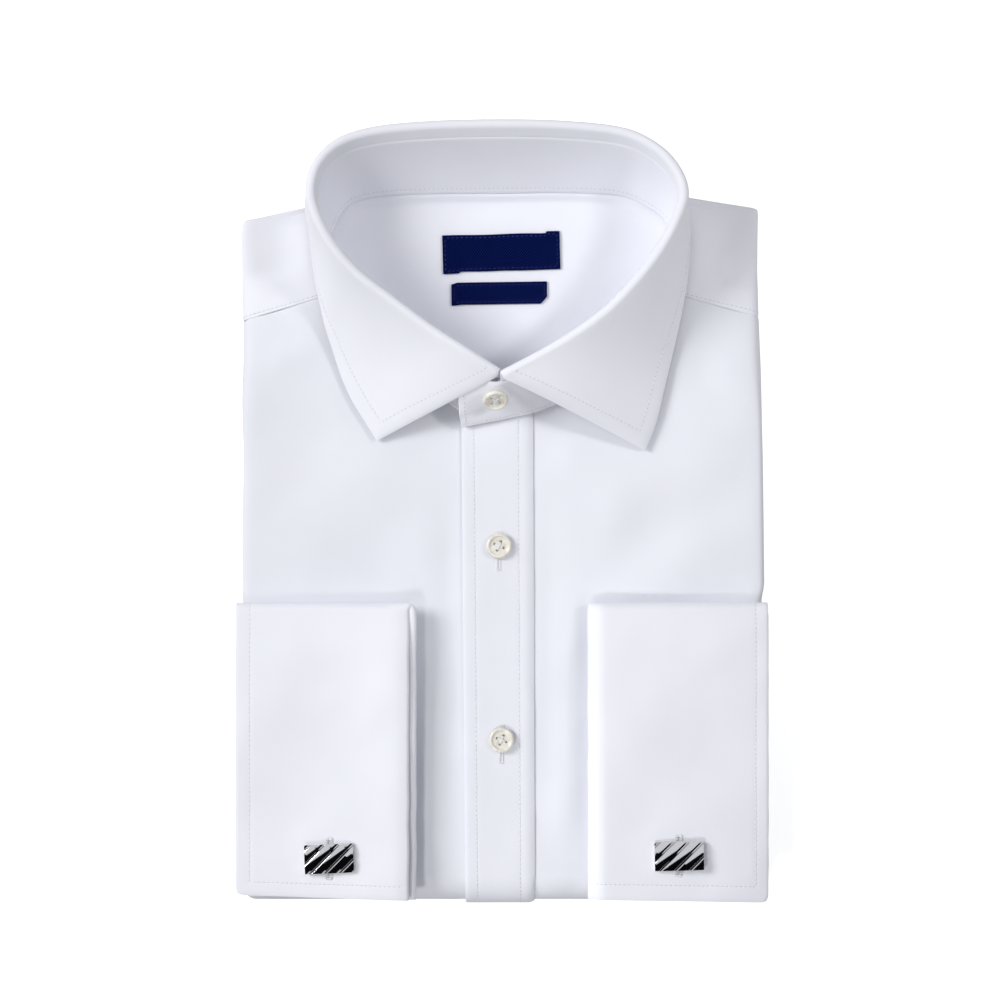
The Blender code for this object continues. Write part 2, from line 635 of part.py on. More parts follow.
def cuff(name, side, hand, under, free, top, bottom):
    """A French cuff: a flattened barrel, closed at the top, its two ends meeting at the bottom, and turned back on itself at the hand end."""
    link = next(v for v in LINKS.values() if v["cuff"] == name)
    hole_x = abs(link["x"])
    hole_y = (link["y"] + HOLE[1] / 2, link["y"] - HOLE[1] / 2)
    ys = sorted({hole_y[0], hole_y[1], -60.0, -92.0, -106.0, -120.0, bottom}, reverse=True)
    bow = 4
    # the way round the barrel: lower half from its bottom end up, fold, upper half down
    stops = [("low", y) for y in reversed(ys)] + [("turn", math.pi * k / (bow - 1)) for k in range(bow)] + [("high", y) for y in ys]
    # the way across a layer: the outer layer from the free edge to the hand, the fold, and the inner layer back
    lanes = [0.0, hole_x - HOLE[0] / 2, hole_x + HOLE[0] / 2, 0.0]

    def point(stop, where, depth, x):
        kind, v = stop
        centre_y = top - 4.0
        low, high = cuff_floor(x, centre_y) + depth, cuff_top(x) - depth
        if kind == "low":
            return (side * x, v, cuff_floor(x, v) + depth)
        if kind == "high":
            return (side * x, v, cuff_top(x) - depth - 0.3 * smooth((v + 60) / 22))
        high -= 0.3 * smooth((centre_y + 60) / 22)
        half = (high - low) / 2
        reach = 4.0 - depth
        return (side * x, centre_y + reach * math.sin(v), (low + high) / 2 - half * math.cos(v))

    middle = []
    for k, stop in enumerate(stops):
        upper = k / (len(stops) - 1)
        fold = mix(under, hand, smooth(upper * 3 - 1))
        loose = free - (5.4 if stop[0] == "low" else 5.4 * (1 - stop[1] / math.pi) if stop[0] == "turn" else 0.0)
        near = fold + CUFF_LAYER / 2 + 0.4
        across = [(loose, 0.0)] + [(x, 0.0) for x in (94.0, lanes[2], lanes[1], 62.0, 50.0, near)]
        across += [(fold + CUFF_LAYER / 2 + 0.4 - CUFF_LAYER / 2 * math.sin(t) * 1.4, (1 - math.cos(t)) / 2) for t in (math.pi * 0.25, math.pi * 0.5, math.pi * 0.75)]
        across += [(near, 1.0)] + [(x, 1.0) for x in (50.0, 62.0, lanes[1], lanes[2], 94.0)] + [(min(loose, free - 2.2), 1.0)]
        middle.append([point(stop, upper, CUFF_T / 2 + CUFF_LAYER * layer, x) for x, layer in across])
    outer, inner = thicken(middle, CUFF_T)

    hole_rows = set()
    for k in range(len(stops) - 1):
        if stops[k][0] == stops[k + 1][0] and stops[k][0] != "turn" and {round(stops[k][1], 6), round(stops[k + 1][1], 6)} == {round(v, 6) for v in hole_y}:
            hole_rows.add(k)
    hole_cols = {2, 13}
    return wall(name, outer, inner, COTTON, keep=lambda i, j: not (i in hole_rows and j in hole_cols))


for key, spec in CUFFS.items():
    cuff(key, **spec)


def sleeve(name, side, top, bottom):
    """The sleeve's end: a flattened tube from between the halves, up round the side and into the cuff."""
    edge = (EDGE_LEFT if side < 0 else EDGE_RIGHT)
    centre = edge - SIDE_R
    thick, ply = 1.1, 0.9
    path = [(centre + 3.9, MIDDLE + 0.0, 0.0, 1.0)]
    r = SIDE_R + GAP + thick
    for t in (0.80, 0.66, 0.5):
        a = math.pi * t
        x, z = centre + r * math.sin(a), PACKET - SIDE_R + r * math.cos(a)
        path.append((x, z, math.sin(a), math.cos(a)))
    path[0] = (centre + 3.6, MIDDLE - 0.05, 0.25, -1.0)
    path += [(centre + r + 0.25, 20.4, 1.0, 0.05), (centre + r - 0.1, 23.6, 0.95, 0.3),
             (centre + r - 1.8, 26.1, 0.6, 0.8), (centre + r - 4.6, 27.1, 0.1, 1.0), (centre + r - 9.0, 27.15, 0.0, 1.0)]
    half = thick - ply / 2
    grid = []
    for x, z, nx, nz in path:
        length = math.hypot(nx, nz)
        nx, nz = nx / length, nz / length
        line = []
        for y, off in ((top - half, 1), (mix(top, bottom, 0.33), 1), (mix(top, bottom, 0.66), 1), (bottom + half, 1)):
            line.append((side * (x + nx * half * off), y, z + nz * half * off))
        line.append((side * x, bottom, z))
        for y in (bottom + half, mix(top, bottom, 0.66), mix(top, bottom, 0.33), top - half):
            line.append((side * (x - nx * half), y, z - nz * half))
        line.append((side * x, top, z))
        grid.append(line)
    outer, inner = thicken(grid, ply, closed=True)
    return wall(name, outer, inner, COTTON, closed=True)


sleeve("sleeve_right", -1, -42.6, -153.0)
sleeve("sleeve_left", 1, -42.4, -153.0)


# -------------------------------------------------------------------- trimmings
def cylinder(segments, radius, z0, z1, axis="z", centre=(0, 0, 0)):
    ring_a, ring_b = [], []
    for k in range(segments):
        t = 2 * math.pi * (k + 0.5) / segments
        a, b = radius * math.cos(t), radius * math.sin(t)
        for out, h in ((ring_a, z0), (ring_b, z1)):
            p = (a, b, h) if axis == "z" else (a, h, b)
            out.append(tuple(p[i] + centre[i] for i in range(3)))
    verts = ring_a + ring_b
    faces = [[k, (k + 1) % segments, segments + (k + 1) % segments, segments + k] for k in range(segments)]
    faces += [list(reversed(range(segments))), [segments + k for k in range(segments)]]
    return verts, faces


def join(parts):
    verts, faces = [], []
    for v, f in parts:
        f = right_way(np.asarray(v) - np.mean(np.asarray(v), axis=0), f)
        faces += [[i + len(verts) for i in face] for face in f]
        verts += list(v)
    return verts, faces


def place(verts, centre, tilt=0.0, turn=0.0):
    """Tilts about X toward -Y, turns about Z, then moves to the centre."""
    ct, st = math.cos(math.radians(tilt)), math.sin(math.radians(tilt))
    cz, sz = math.cos(math.radians(turn)), math.sin(math.radians(turn))
    out = []
    for x, y, z in verts:
        y, z = y * ct - z * st, y * st + z * ct
        x, y = x * cz - y * sz, x * sz + y * cz
        out.append((x + centre[0], y + centre[1], z + centre[2]))
    return out


def cut(obj, cutter, operation="DIFFERENCE"):
    mod = obj.modifiers.new(operation.lower(), "BOOLEAN")
    mod.operation = operation
    mod.solver = "EXACT"
    mod.object = cutter
    cutter.hide_render = True
    cutter.display_type = "WIRE"


def button(name, centre, tilt=0.0, turn=0.0):
    """A four-hole button with a raised rim and a dished middle."""
    n = 16
    profile = [(0.0, 0.0), (BUTTON_D / 2 - 0.9, 0.0), (BUTTON_D / 2, 0.9), (BUTTON_D / 2, 1.7),
               (BUTTON_D / 2 - 0.7, BUTTON_T), (BUTTON_D / 2 - 1.6, BUTTON_T - 0.1), (BUTTON_D / 2 - 2.2, 1.6), (0.0, 1.5)]
    verts, faces = [(0.0, 0.0, profile[0][1])], []
    for r, z in profile[1:-1]:
        verts += [(r * math.cos(2 * math.pi * k / n), r * math.sin(2 * math.pi * k / n), z) for k in range(n)]
    verts.append((0.0, 0.0, profile[-1][1]))
    rows = len(profile) - 2
    for k in range(n):
        m = (k + 1) % n
        faces.append([0, 1 + m, 1 + k])
        for i in range(rows - 1):
            a, b = 1 + i * n, 1 + (i + 1) * n
            faces.append([a + k, a + m, b + m, b + k])
        last = 1 + (rows - 1) * n
        faces.append([last + k, last + m, len(verts) - 1])
    obj = finish(name, place(verts, centre, tilt, turn), right_way(verts, faces), PEARL, True)
    pins = join([cylinder(6, 0.8, -1.0, 4.0, "z", (dx, dy, 0)) for dx in (-1.25, 1.25) for dy in (-1.25, 1.25)])
    cutter = finish(name + "_holes", place(pins[0], centre, tilt, turn), pins[1], PEARL)
    cut(obj, cutter)
    return obj


for key, (x, y) in BUTTONS.items():
    button(key, (x, y, top_height(x, y) + PLACKET_LIFT + GAP), turn=18.0)
button("button_collar", (-2.9, 48.8, 37.9), tilt=45.0, turn=8.0)


def label(name, x, y, w, h, turn):
    """A woven label, lying on the inside yoke."""
    c, s = math.cos(math.radians(turn)), math.sin(math.radians(turn))

    def grid(lift):
        rows = []
        for j in range(4):
            v = h * (j / 3 - 0.5)
            line = []
            for i in range(9):
                u = w * (i / 8 - 0.5)
                px, py = x + u * c - v * s, y + u * s + v * c
                line.append((px, py, neck_floor(px, py) + lift))
            rows.append(line)
        return rows

    return wall(name, grid(0.45 + 0.8), grid(0.45), NAVY)


for key, spec in LABELS.items():
    label(key, *spec)


def cufflink(name, x, y, turn, cuff):
    """Rectangular face with slanting grooves, a post through the four layers and the bar that holds it."""
    w, h, t = LINK_FACE
    low = cuff_top(abs(x) - w / 2) + GAP
    nu, nv = 6, 4
    top = [[(w * (i / nu - 0.5), h * (j / nv - 0.5)) for i in range(nu + 1)] for j in range(nv + 1)]
    verts, faces = [], []
    for layer in (0, 1):
        for row in top:
            for u, v in row:
                if layer:
                    z = t - 0.9 * ((2 * u / w) ** 2 + (2 * v / h) ** 2) * 0.5
                else:
                    z = 0.0
                verts.append((u, v, z))
    count = (nu + 1) * (nv + 1)

    def vid(layer, i, j):
        return layer * count + j * (nu + 1) + i

    for j in range(nv):
        for i in range(nu):
            faces.append([vid(1, i, j), vid(1, i + 1, j), vid(1, i + 1, j + 1), vid(1, i, j + 1)])
    rim = [(i, 0) for i in range(nu)] + [(nu, j) for j in range(nv)] + [(i, nv) for i in range(nu, 0, -1)] + [(0, j) for j in range(nv, 0, -1)]
    for a, b in zip(rim, rim[1:] + rim[:1]):
        faces.append([vid(0, *a), vid(0, *b), vid(1, *b), vid(1, *a)])
    faces.append([vid(0, *p) for p in reversed(rim)])
    used = sorted({i for face in faces for i in face})
    renumber = {v: k for k, v in enumerate(used)}
    verts = [verts[i] for i in used]
    faces = [[renumber[i] for i in face] for face in faces]
    body = finish(name, place(verts, (x, y, low), 0, turn), right_way(verts, faces), CHROME)

    bar_d, bar_l = LINK_TOGGLE
    bar_z = cuff_floor(x, y) - GAP - bar_d / 2
    post = cylinder(10, LINK_POST_D / 2, bar_z, low + 1.0)
    post_obj = finish(name + "_post", place(post[0], (x, y, 0)), right_way(*post), CHROME)
    bar = cylinder(10, bar_d / 2, -bar_l / 2, bar_l / 2, "y")
    bar_obj = finish(name + "_bar", place(bar[0], (x, y, bar_z)), right_way(*bar), CHROME)
    slant = []
    for k in range(-1, 3):
        c = k * 6.4 - 3.0
        length, width, deep = 30.0, 0.7, 0.55
        box = [(a, b, z) for z in (t - deep, t + 2.0) for a, b in ((-length / 2, -width / 2), (length / 2, -width / 2), (length / 2, width / 2), (-length / 2, width / 2))]
        ca, sa = math.cos(math.radians(43.5)), math.sin(math.radians(43.5))
        box = [(p * ca - q * sa + c, p * sa + q * ca, z) for p, q, z in box]
        slant.append((box, [[3, 2, 1, 0], [4, 5, 6, 7], [0, 1, 5, 4], [1, 2, 6, 5], [2, 3, 7, 6], [3, 0, 4, 7]]))
    grooves = join(slant)
    groove_obj = finish(name + "_grooves", place(grooves[0], (x, y, low), 0, turn), grooves[1], CHROME)
    cut(body, groove_obj)
    cut(body, post_obj, "UNION")
    cut(body, bar_obj, "UNION")
    return body


for key, spec in LINKS.items():
    cufflink(key, **spec)
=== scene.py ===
"""Folded long sleeve dress shirt: the looks. Lengths in the tables are millimetres, in the CAD's own layout."""

import math

import bmesh
import bpy
import numpy as np
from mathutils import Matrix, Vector, noise

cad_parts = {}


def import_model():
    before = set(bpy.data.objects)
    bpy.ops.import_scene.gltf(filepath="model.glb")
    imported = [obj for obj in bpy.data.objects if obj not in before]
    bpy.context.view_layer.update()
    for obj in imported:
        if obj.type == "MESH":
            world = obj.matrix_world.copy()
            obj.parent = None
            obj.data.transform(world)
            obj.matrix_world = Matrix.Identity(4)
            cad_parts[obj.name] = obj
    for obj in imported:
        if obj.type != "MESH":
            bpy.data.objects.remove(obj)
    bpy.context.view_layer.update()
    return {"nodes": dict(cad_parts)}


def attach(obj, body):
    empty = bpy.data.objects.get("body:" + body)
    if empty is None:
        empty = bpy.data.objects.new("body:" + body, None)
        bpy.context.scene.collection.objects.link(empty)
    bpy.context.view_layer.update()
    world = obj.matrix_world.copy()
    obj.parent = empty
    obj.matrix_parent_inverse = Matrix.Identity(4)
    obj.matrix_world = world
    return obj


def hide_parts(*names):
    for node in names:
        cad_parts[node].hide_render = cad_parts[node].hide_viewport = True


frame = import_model()

MM = 0.001
SHIFT = (-0.3, 0.2)

# ------------------------------------------------------------ sizes, as in the CAD
PACKET, MIDDLE, SLIT = 22.0, 11.0, 0.4
ROLL_Y, TAIL_Y = -155.6, 38.0
CLOTH, GAP, LIP = 1.0, 0.3, 15.0
SIDE_R = (PACKET - MIDDLE - SLIT) / 2
EDGE_LEFT, EDGE_RIGHT, EDGE_RIGHT_TOP = 112.0, 112.2, 111.0
STAND_T, LEAF_T, FOLD_R, FOLD_LEG = 1.8, 1.6, 1.5, 4.4
PLACKET_T, PLACKET_LIFT = 1.2, 1.5
PLACKET_LEFT, PLACKET_RIGHT = (-17.5, -15.8), (13.4, 14.2)
OVERLAP_X = 11.0
BUTTON_D, BUTTON_T = 11.0, 2.3
CUFF_T, CUFF_TOP, CUFF_LAYER, CUFF_LIFT = 1.1, (36.2, 32.2), 1.65, 2.8

# seam x, y, z | cloth height | fold x, y, z | edge x, y, z : from the wearer's right front end round to the left
COLLAR = [
    ((-2.0, 44.4, 22.9), 20.0, (-1.2, 61.2, 43.2), (-53.8, 32.0, 24.5)),
    ((-16.6, 44.4, 23.4), 21.0, (-14.5, 69.8, 46.2), (-59.4, 41.0, 24.5)),
    ((-31.2, 56.4, 23.2), 21.8, (-30.6, 80.0, 47.5), (-64.6, 49.6, 24.5)),
    ((-45.2, 67.3, 23.1), 21.7, (-47.5, 92.6, 48.7), (-68.9, 59.1, 24.4)),
    ((-58.6, 77.2, 23.0), 21.6, (-61.4, 103.5, 50.0), (-72.8, 71.1, 24.3)),
    ((-68.1, 89.3, 22.5), 21.2, (-72.4, 116.1, 51.8), (-76.7, 84.1, 23.8)),
    ((-73.3, 105.8, 21.0), 19.7, (-79.5, 129.6, 53.0), (-80.6, 103.5, 22.8)),
    ((-74.3, 118.0, 19.3), 18.0, (-81.2, 139.7, 53.0), (-83.3, 123.1, 20.2)),
    ((-71.3, 128.0, 18.0), 16.7, (-77.9, 150.5, 51.0), (-85.0, 137.2, 12.5)),
    ((-64.9, 135.0, 16.5), 15.2, (-68.7, 159.2, 48.5), (-78.4, 146.0, 5.5)),
    ((-52.8, 138.1, 15.7), 14.4, (-53.9, 164.0, 46.6), (-61.1, 150.0, 2.8)),
    ((-30.3, 139.2, 15.4), 14.2, (-30.6, 166.4, 45.8), (-32.7, 151.2, 2.2)),
    ((-0.9, 139.4, 15.4), 14.2, (-0.9, 167.2, 45.6), (-0.9, 151.7, 2.0)),
    ((26.4, 139.7, 15.4), 14.2, (26.7, 166.5, 45.8), (29.2, 151.2, 2.2)),
    ((49.8, 138.6, 15.6), 14.3, (50.9, 163.6, 46.8), (56.7, 149.6, 2.8)),
    ((61.8, 134.2, 16.6), 15.3, (64.8, 157.0, 48.8), (72.3, 145.4, 5.5)),
    ((70.9, 127.5, 18.2), 16.9, (73.6, 147.5, 51.0), (78.9, 138.3, 12.5)),
    ((75.6, 116.2, 19.4), 18.1, (76.9, 136.8, 53.0), (80.9, 124.0, 20.0)),
    ((74.6, 101.0, 21.0), 19.7, (73.1, 125.3, 53.0), (80.2, 106.5, 22.7)),
    ((68.1, 87.2, 22.4), 21.1, (66.4, 113.2, 51.8), (77.9, 91.0, 23.7)),
    ((57.7, 73.8, 22.9), 21.5, (56.3, 100.1, 50.6), (75.3, 78.0, 24.2)),
    ((45.2, 61.7, 23.0), 21.6, (44.5, 87.9, 49.6), (72.3, 65.1, 24.4)),
    ((31.0, 51.8, 23.2), 21.8, (30.9, 77.8, 48.6), (69.3, 52.2, 24.5)),
    ((15.1, 44.9, 24.4), 21.9, (16.1, 68.9, 47.6), (66.3, 39.7, 24.5)),
    ((0.6, 41.6, 24.7), 21.9, (-0.2, 60.2, 46.7), (61.8, 27.6, 24.5)),
]
STAND_UNDER = ((9.5, 46.8, 22.4), (10.5, 63.6, 38.2))
STAND_OVER = [((-7.3, 40.0, 24.8), (-7.6, 58.2, 40.9)), ((-13.5, 38.9, 24.9), (-14.6, 55.0, 38.6)), ((-17.4, 38.5, 25.1), (-18.8, 52.2, 37.0))]
# neck station | outline x, y | back x, y
YOKE = [
    (5.42, (-112.3, 83.9), (-99.0, 84.4)), (5.8, (-112.6, 92.0), (-93.0, 84.4)), (6.3, (-112.9, 104.0), (-86.6, 84.4)),
    (6.8, (-113.1, 116.0), (-80.0, 76.0)), (7.1, (-113.0, 124.2), (-75.0, 76.0)), (7.4, (-111.6, 127.9), (-70.0, 76.0)),
    (7.7, (-106.4, 129.0), (-64.0, 76.0)), (8.1, (-95.0, 131.6), (-56.0, 76.0)), (8.6, (-84.0, 134.0), (-48.0, 76.0)),
    (9.2, (-72.0, 138.6), (-40.0, 76.0)), (10.0, (-55.0, 142.6), (-31.0, 76.0)), (11.0, (-30.5, 143.8), (-18.0, 76.0)),
    (12.0, (-0.9, 144.0), (-0.9, 76.0)), (13.0, (26.5, 144.0), (18.0, 76.0)), (14.0, (52.0, 143.0), (31.0, 76.0)),
    (14.8, (69.0, 139.8), (40.0, 76.0)), (15.4, (80.5, 138.0), (48.0, 76.0)), (15.9, (92.0, 136.2), (56.0, 76.0)),
    (16.3, (103.6, 134.4), (64.0, 76.0)), (16.6, (110.0, 133.2), (70.0, 76.0)), (16.9, (111.3, 131.2), (76.0, 76.0)),
    (17.2, (111.2, 123.0), (79.0, 76.0)), (17.6, (111.0, 108.0), (86.0, 86.2)), (18.0, (111.2, 96.0), (93.0, 86.2)),
    (18.36, (111.3, 85.7), (99.0, 86.2)),
]
FRONT_TOP_LEFT = [(-112.0, 83.2), (-71.2, 95.5), (-68.5, 89.3), (-58.6, 77.2), (-45.2, 67.3), (-31.2, 56.4), (-16.8, 44.0), (-2.0, 43.0), (12.0, 43.0)]
FRONT_TOP_RIGHT = [(11.0, 43.0), (15.1, 44.9), (31.0, 51.8), (45.2, 61.7), (57.7, 73.8), (68.6, 87.2), (72.9, 95.3), (112.0, 84.9)]
NECK_SIDES = [(50.5, -22.5, 26.5), (56.4, -30.0, 36.0), (67.3, -44.3, 49.6), (77.2, -57.4, 59.0), (89.3, -67.0, 68.3), (105.8, -72.4, 74.0),
              (118.0, -73.4, 74.4), (128.0, -70.3, 69.4), (135.0, -63.4, 58.6), (137.0, -55.3, 53.0), (138.2, -43.0, 44.0)]
CUFFS = {
    "cuff_right": dict(side=-1, hand=40.3, under=37.2, free=114.3, top=-37.6, bottom=-163.3, link=(73.9, -146.7)),
    "cuff_left": dict(side=1, hand=37.2, under=38.2, free=114.1, top=-37.4, bottom=-164.9, link=(75.7, -145.5)),
}
LINK_LEAN = {"shirt_cufflink_right": 0.0, "shirt_cufflink_left": 0.07}      # fall of the face towards the collar
LINKS = {"cufflink_right": (-73.9, -146.7, 2.4), "cufflink_left": (75.7, -145.5, 1.4)}
HOLE = (2.6, 17.0)
LABELS = {"label_main": (-0.3, 113.7, 50.8, 15.9, 1.5), "label_small": (-1.2, 96.1, 41.4, 9.6, 0.8)}


# ------------------------------------------------------------------------ forms
def smooth(t):
    t = min(1.0, max(0.0, t))
    return t * t * (3 - 2 * t)


def mix(a, b, t):
    return a + (b - a) * t


def bell(d, width):
    return math.exp(-(d / width) ** 2)


def at(table, x):
    return float(np.interp(x, [r[0] for r in table], [r[1] for r in table]))


def spline(rows, t):
    """Catmull-Rom through a list of equal-length rows at a fractional index."""
    n = len(rows)
    k = min(max(int(t), 0), n - 2)
    f = t - k
    p1, p2 = np.asarray(rows[k], float), np.asarray(rows[k + 1], float)
    p0 = np.asarray(rows[k - 1], float) if k > 0 else 2 * p1 - p2
    p3 = np.asarray(rows[k + 2], float) if k + 2 < n else 2 * p2 - p1
    return 0.5 * (2 * p1 + (p2 - p0) * f + (2 * p0 - 5 * p1 + 4 * p2 - p3) * f * f + (3 * p1 - p0 - 3 * p2 + p3) * f ** 3)


FLAT_COLLAR = [(*a, h, *b, *c) for a, h, b, c in COLLAR]


def collar_row(t):
    row = spline(FLAT_COLLAR, t)
    return row[0:3], float(row[3]), row[4:7], row[7:10]


RING_CENTRE = (0.0, 95.0)


def ring_table():
    rows = []
    for k in range(10, 24 * 10 + 1, 2):
        seam, cloth, _, _ = collar_row(k / 10)
        dx, dy = seam[0] - RING_CENTRE[0], seam[1] - RING_CENTRE[1]
        rows.append((math.atan2(dx, -dy), math.hypot(dx, dy), cloth))
    rows.sort()
    rows = [(rows[-1][0] - 2 * math.pi, *rows[-1][1:])] + rows + [(rows[0][0] + 2 * math.pi, *rows[0][1:])]
    return np.array(rows)


RING = ring_table()


def ring(x, y):
    dx, dy = x - RING_CENTRE[0], y - RING_CENTRE[1]
    angle = math.atan2(dx, -dy)
    radius = float(np.interp(angle, RING[:, 0], RING[:, 1]))
    return math.hypot(dx, dy) / radius, radius, float(np.interp(angle, RING[:, 0], RING[:, 2]))


def shoulder_fall(y):
    return 10.2 * smooth((y - 58) / 74)


# Soft folds of the fronts: start x, y, end x, y, width, height (below 0 a trough).
FRONT_FOLDS = [
    (-108.0, -34.0, -30.0, 26.0, 17.0, 1.15),
    (-110.0, 20.0, -20.0, -40.0, 13.0, -1.05),
    (-62.0, -74.0, -19.0, 22.0, 11.0, 0.55),
    (-112.0, 66.0, -76.0, 74.0, 8.0, 0.8),
    (-112.0, 44.0, -66.0, 26.0, 11.0, -0.8),
    (-88.0, 2.0, -52.0, 22.0, 7.0, 0.35),
    (18.0, -72.0, 100.0, -4.0, 15.0, 1.15),
    (36.0, 6.0, 112.0, 30.0, 12.0, 0.75),
    (30.0, -30.0, 112.0, 14.0, 10.0, -0.85),
    (20.0, 34.0, 62.0, -6.0, 11.0, 0.7),
    (78.0, 70.0, 112.0, 40.0, 10.0, -0.8),
    (92.0, 78.0, 112.0, 26.0, 8.0, 0.7),
    (18.5, -150.0, 22.0, 30.0, 5.0, -0.30),
    (-22.5, -150.0, -23.5, 25.0, 5.0, -0.42),
    (24.0, -152.0, 33.0, -66.0, 6.5, 0.5),
    (-35.0, -140.0, -27.0, -60.0, 6.0, 0.4),
    (44.0, -30.0, 52.0, 18.0, 9.0, 0.25),
]


def fold_relief(x, y, folds):
    total = 0.0
    for x0, y0, x1, y1, width, high in folds:
        dx, dy = x1 - x0, y1 - y0
        length = math.hypot(dx, dy)
        along = ((x - x0) * dx + (y - y0) * dy) / length
        off = abs((x - x0) * dy - (y - y0) * dx) / length
        ends = smooth(along / (0.35 * length)) * smooth((length - along) / (0.35 * length))
        if along > 0 and along < length:
            total += high * ends * bell(off, width)
    return total


def soft_noise(x, y, size, seed):
    return noise.noise(Vector((x / size, y / size, seed * 7.31)))


def front_relief(x, y):
    """Soft unevenness of the laid cloth, fading at the neck."""
    near = smooth((ring(x, y)[0] - 1.0) / 0.25) if y > 20 else 1.0
    value = 1.5 * fold_relief(x, y, FRONT_FOLDS)
    value += 0.8 * soft_noise(x, y, 34.0, 1) + 0.22 * soft_noise(x, y, 14.0, 2)
    return value * near * (1 - 0.85 * smooth((y - 68) / 14))


def top_height(x, y):
    base = PACKET - shoulder_fall(y)
    share, radius, cloth = ring(x, y)
    near = 1 - smooth(max(0.0, share - 1) * radius / 30)
    return mix(base, cloth, near)


def rest_height(y):
    return (MIDDLE + SLIT) * (1 - smooth((y - TAIL_Y) / 36))


def edge_x(side, y):
    if side < 0:
        return EDGE_LEFT
    return mix(EDGE_RIGHT + 1.1 * smooth((y + 37) / 8), EDGE_RIGHT_TOP, smooth((y + 40) / 170))


def blunt(t, power):
    """A turn with tighter corners than a circle's: across and up for an angle."""
    c, s = math.cos(t), math.sin(t)
    return abs(s) ** power, math.copysign(abs(c) ** power, c)


def section(side, a, y, depth):
    edge = edge_x(side, y)
    high = PACKET - shoulder_fall(y)
    r = (high - rest_height(y)) / 2
    flat = edge - r
    if a <= flat:
        return side * a, top_height(side * a, y) - depth
    turn = (a - flat) / r
    if turn <= math.pi:
        lift = (top_height(side * flat, y) - high) * (1 - smooth(turn / math.pi))
        across, up = blunt(turn, mix(1.0, 0.5, smooth((y + 40.5) / 4.0)))
        return side * (flat + (r - depth) * across), high - r + (r - depth) * up + lift
    return side * (flat - (a - flat - math.pi * r)), rest_height(y) + depth


def bend(x, z, s):
    depth = PACKET - z
    angle = s / MIDDLE
    radius = MIDDLE - depth
    if angle <= math.pi:
        return x, ROLL_Y - radius * math.sin(angle), MIDDLE + radius * math.cos(angle)
    return x, ROLL_Y + (s - math.pi * MIDDLE), depth


def packet(side, a, y, s, depth):
    if s <= 0:
        x, z = section(side, a, y, depth)
        return x, y, z
    x, z = section(side, a, ROLL_Y, depth)
    return bend(x, z, s)


def roll_share(s):
    return smooth((s / MIDDLE - math.pi / 2) / (math.pi / 2))


UNDER = TAIL_Y - ROLL_Y
TURN_LEN = MIDDLE * math.pi


def spread(a, b, step, marks=(), rim=0.45):
    """Positions from a to b about a step apart, with a rim step at both ends and three across each stitch line."""
    sign = 1 if b > a else -1
    lo, hi = min(a, b), max(a, b)
    want = {lo, hi}
    if rim:
        want |= {lo + rim, hi - rim}
    for m in marks:
        want |= {m - 0.8, m - 0.35, m, m + 0.35, m + 0.8}
    want = sorted(w for w in want if lo <= w <= hi)
    out = []
    for p, q in zip(want, want[1:]):
        n = max(1, int(round((q - p) / step)))
        out += [mix(p, q, k / n) for k in range(n)]
    out.append(want[-1])
    return out if sign > 0 else out[::-1]


# ---------------------------------------------------------------- mesh builders
def world(p):
    return ((p[0] + SHIFT[0]) * MM, (p[1] + SHIFT[1]) * MM, p[2] * MM)


def link(name, verts, faces, mat, uvs=None, smooth_angle=50.0):
    mesh = bpy.data.meshes.new(name)
    mesh.from_pydata([world(v) for v in verts], [], faces)
    if uvs is not None:
        layer = mesh.uv_layers.new(name="cloth")
        loops = np.zeros(len(mesh.loops), dtype=np.int32)
        mesh.loops.foreach_get("vertex_index", loops)
        layer.data.foreach_set("uv", np.asarray(uvs, float)[loops].ravel())
    mesh.validate()
    mesh.update()
    mesh.polygons.foreach_set("use_smooth", [True] * len(mesh.polygons))
    if smooth_angle:
        mesh.set_sharp_from_angle(angle=math.radians(smooth_angle))
    obj = bpy.data.objects.new(name, mesh)
    bpy.context.scene.collection.objects.link(obj)
    mesh.materials.append(mat)
    return obj


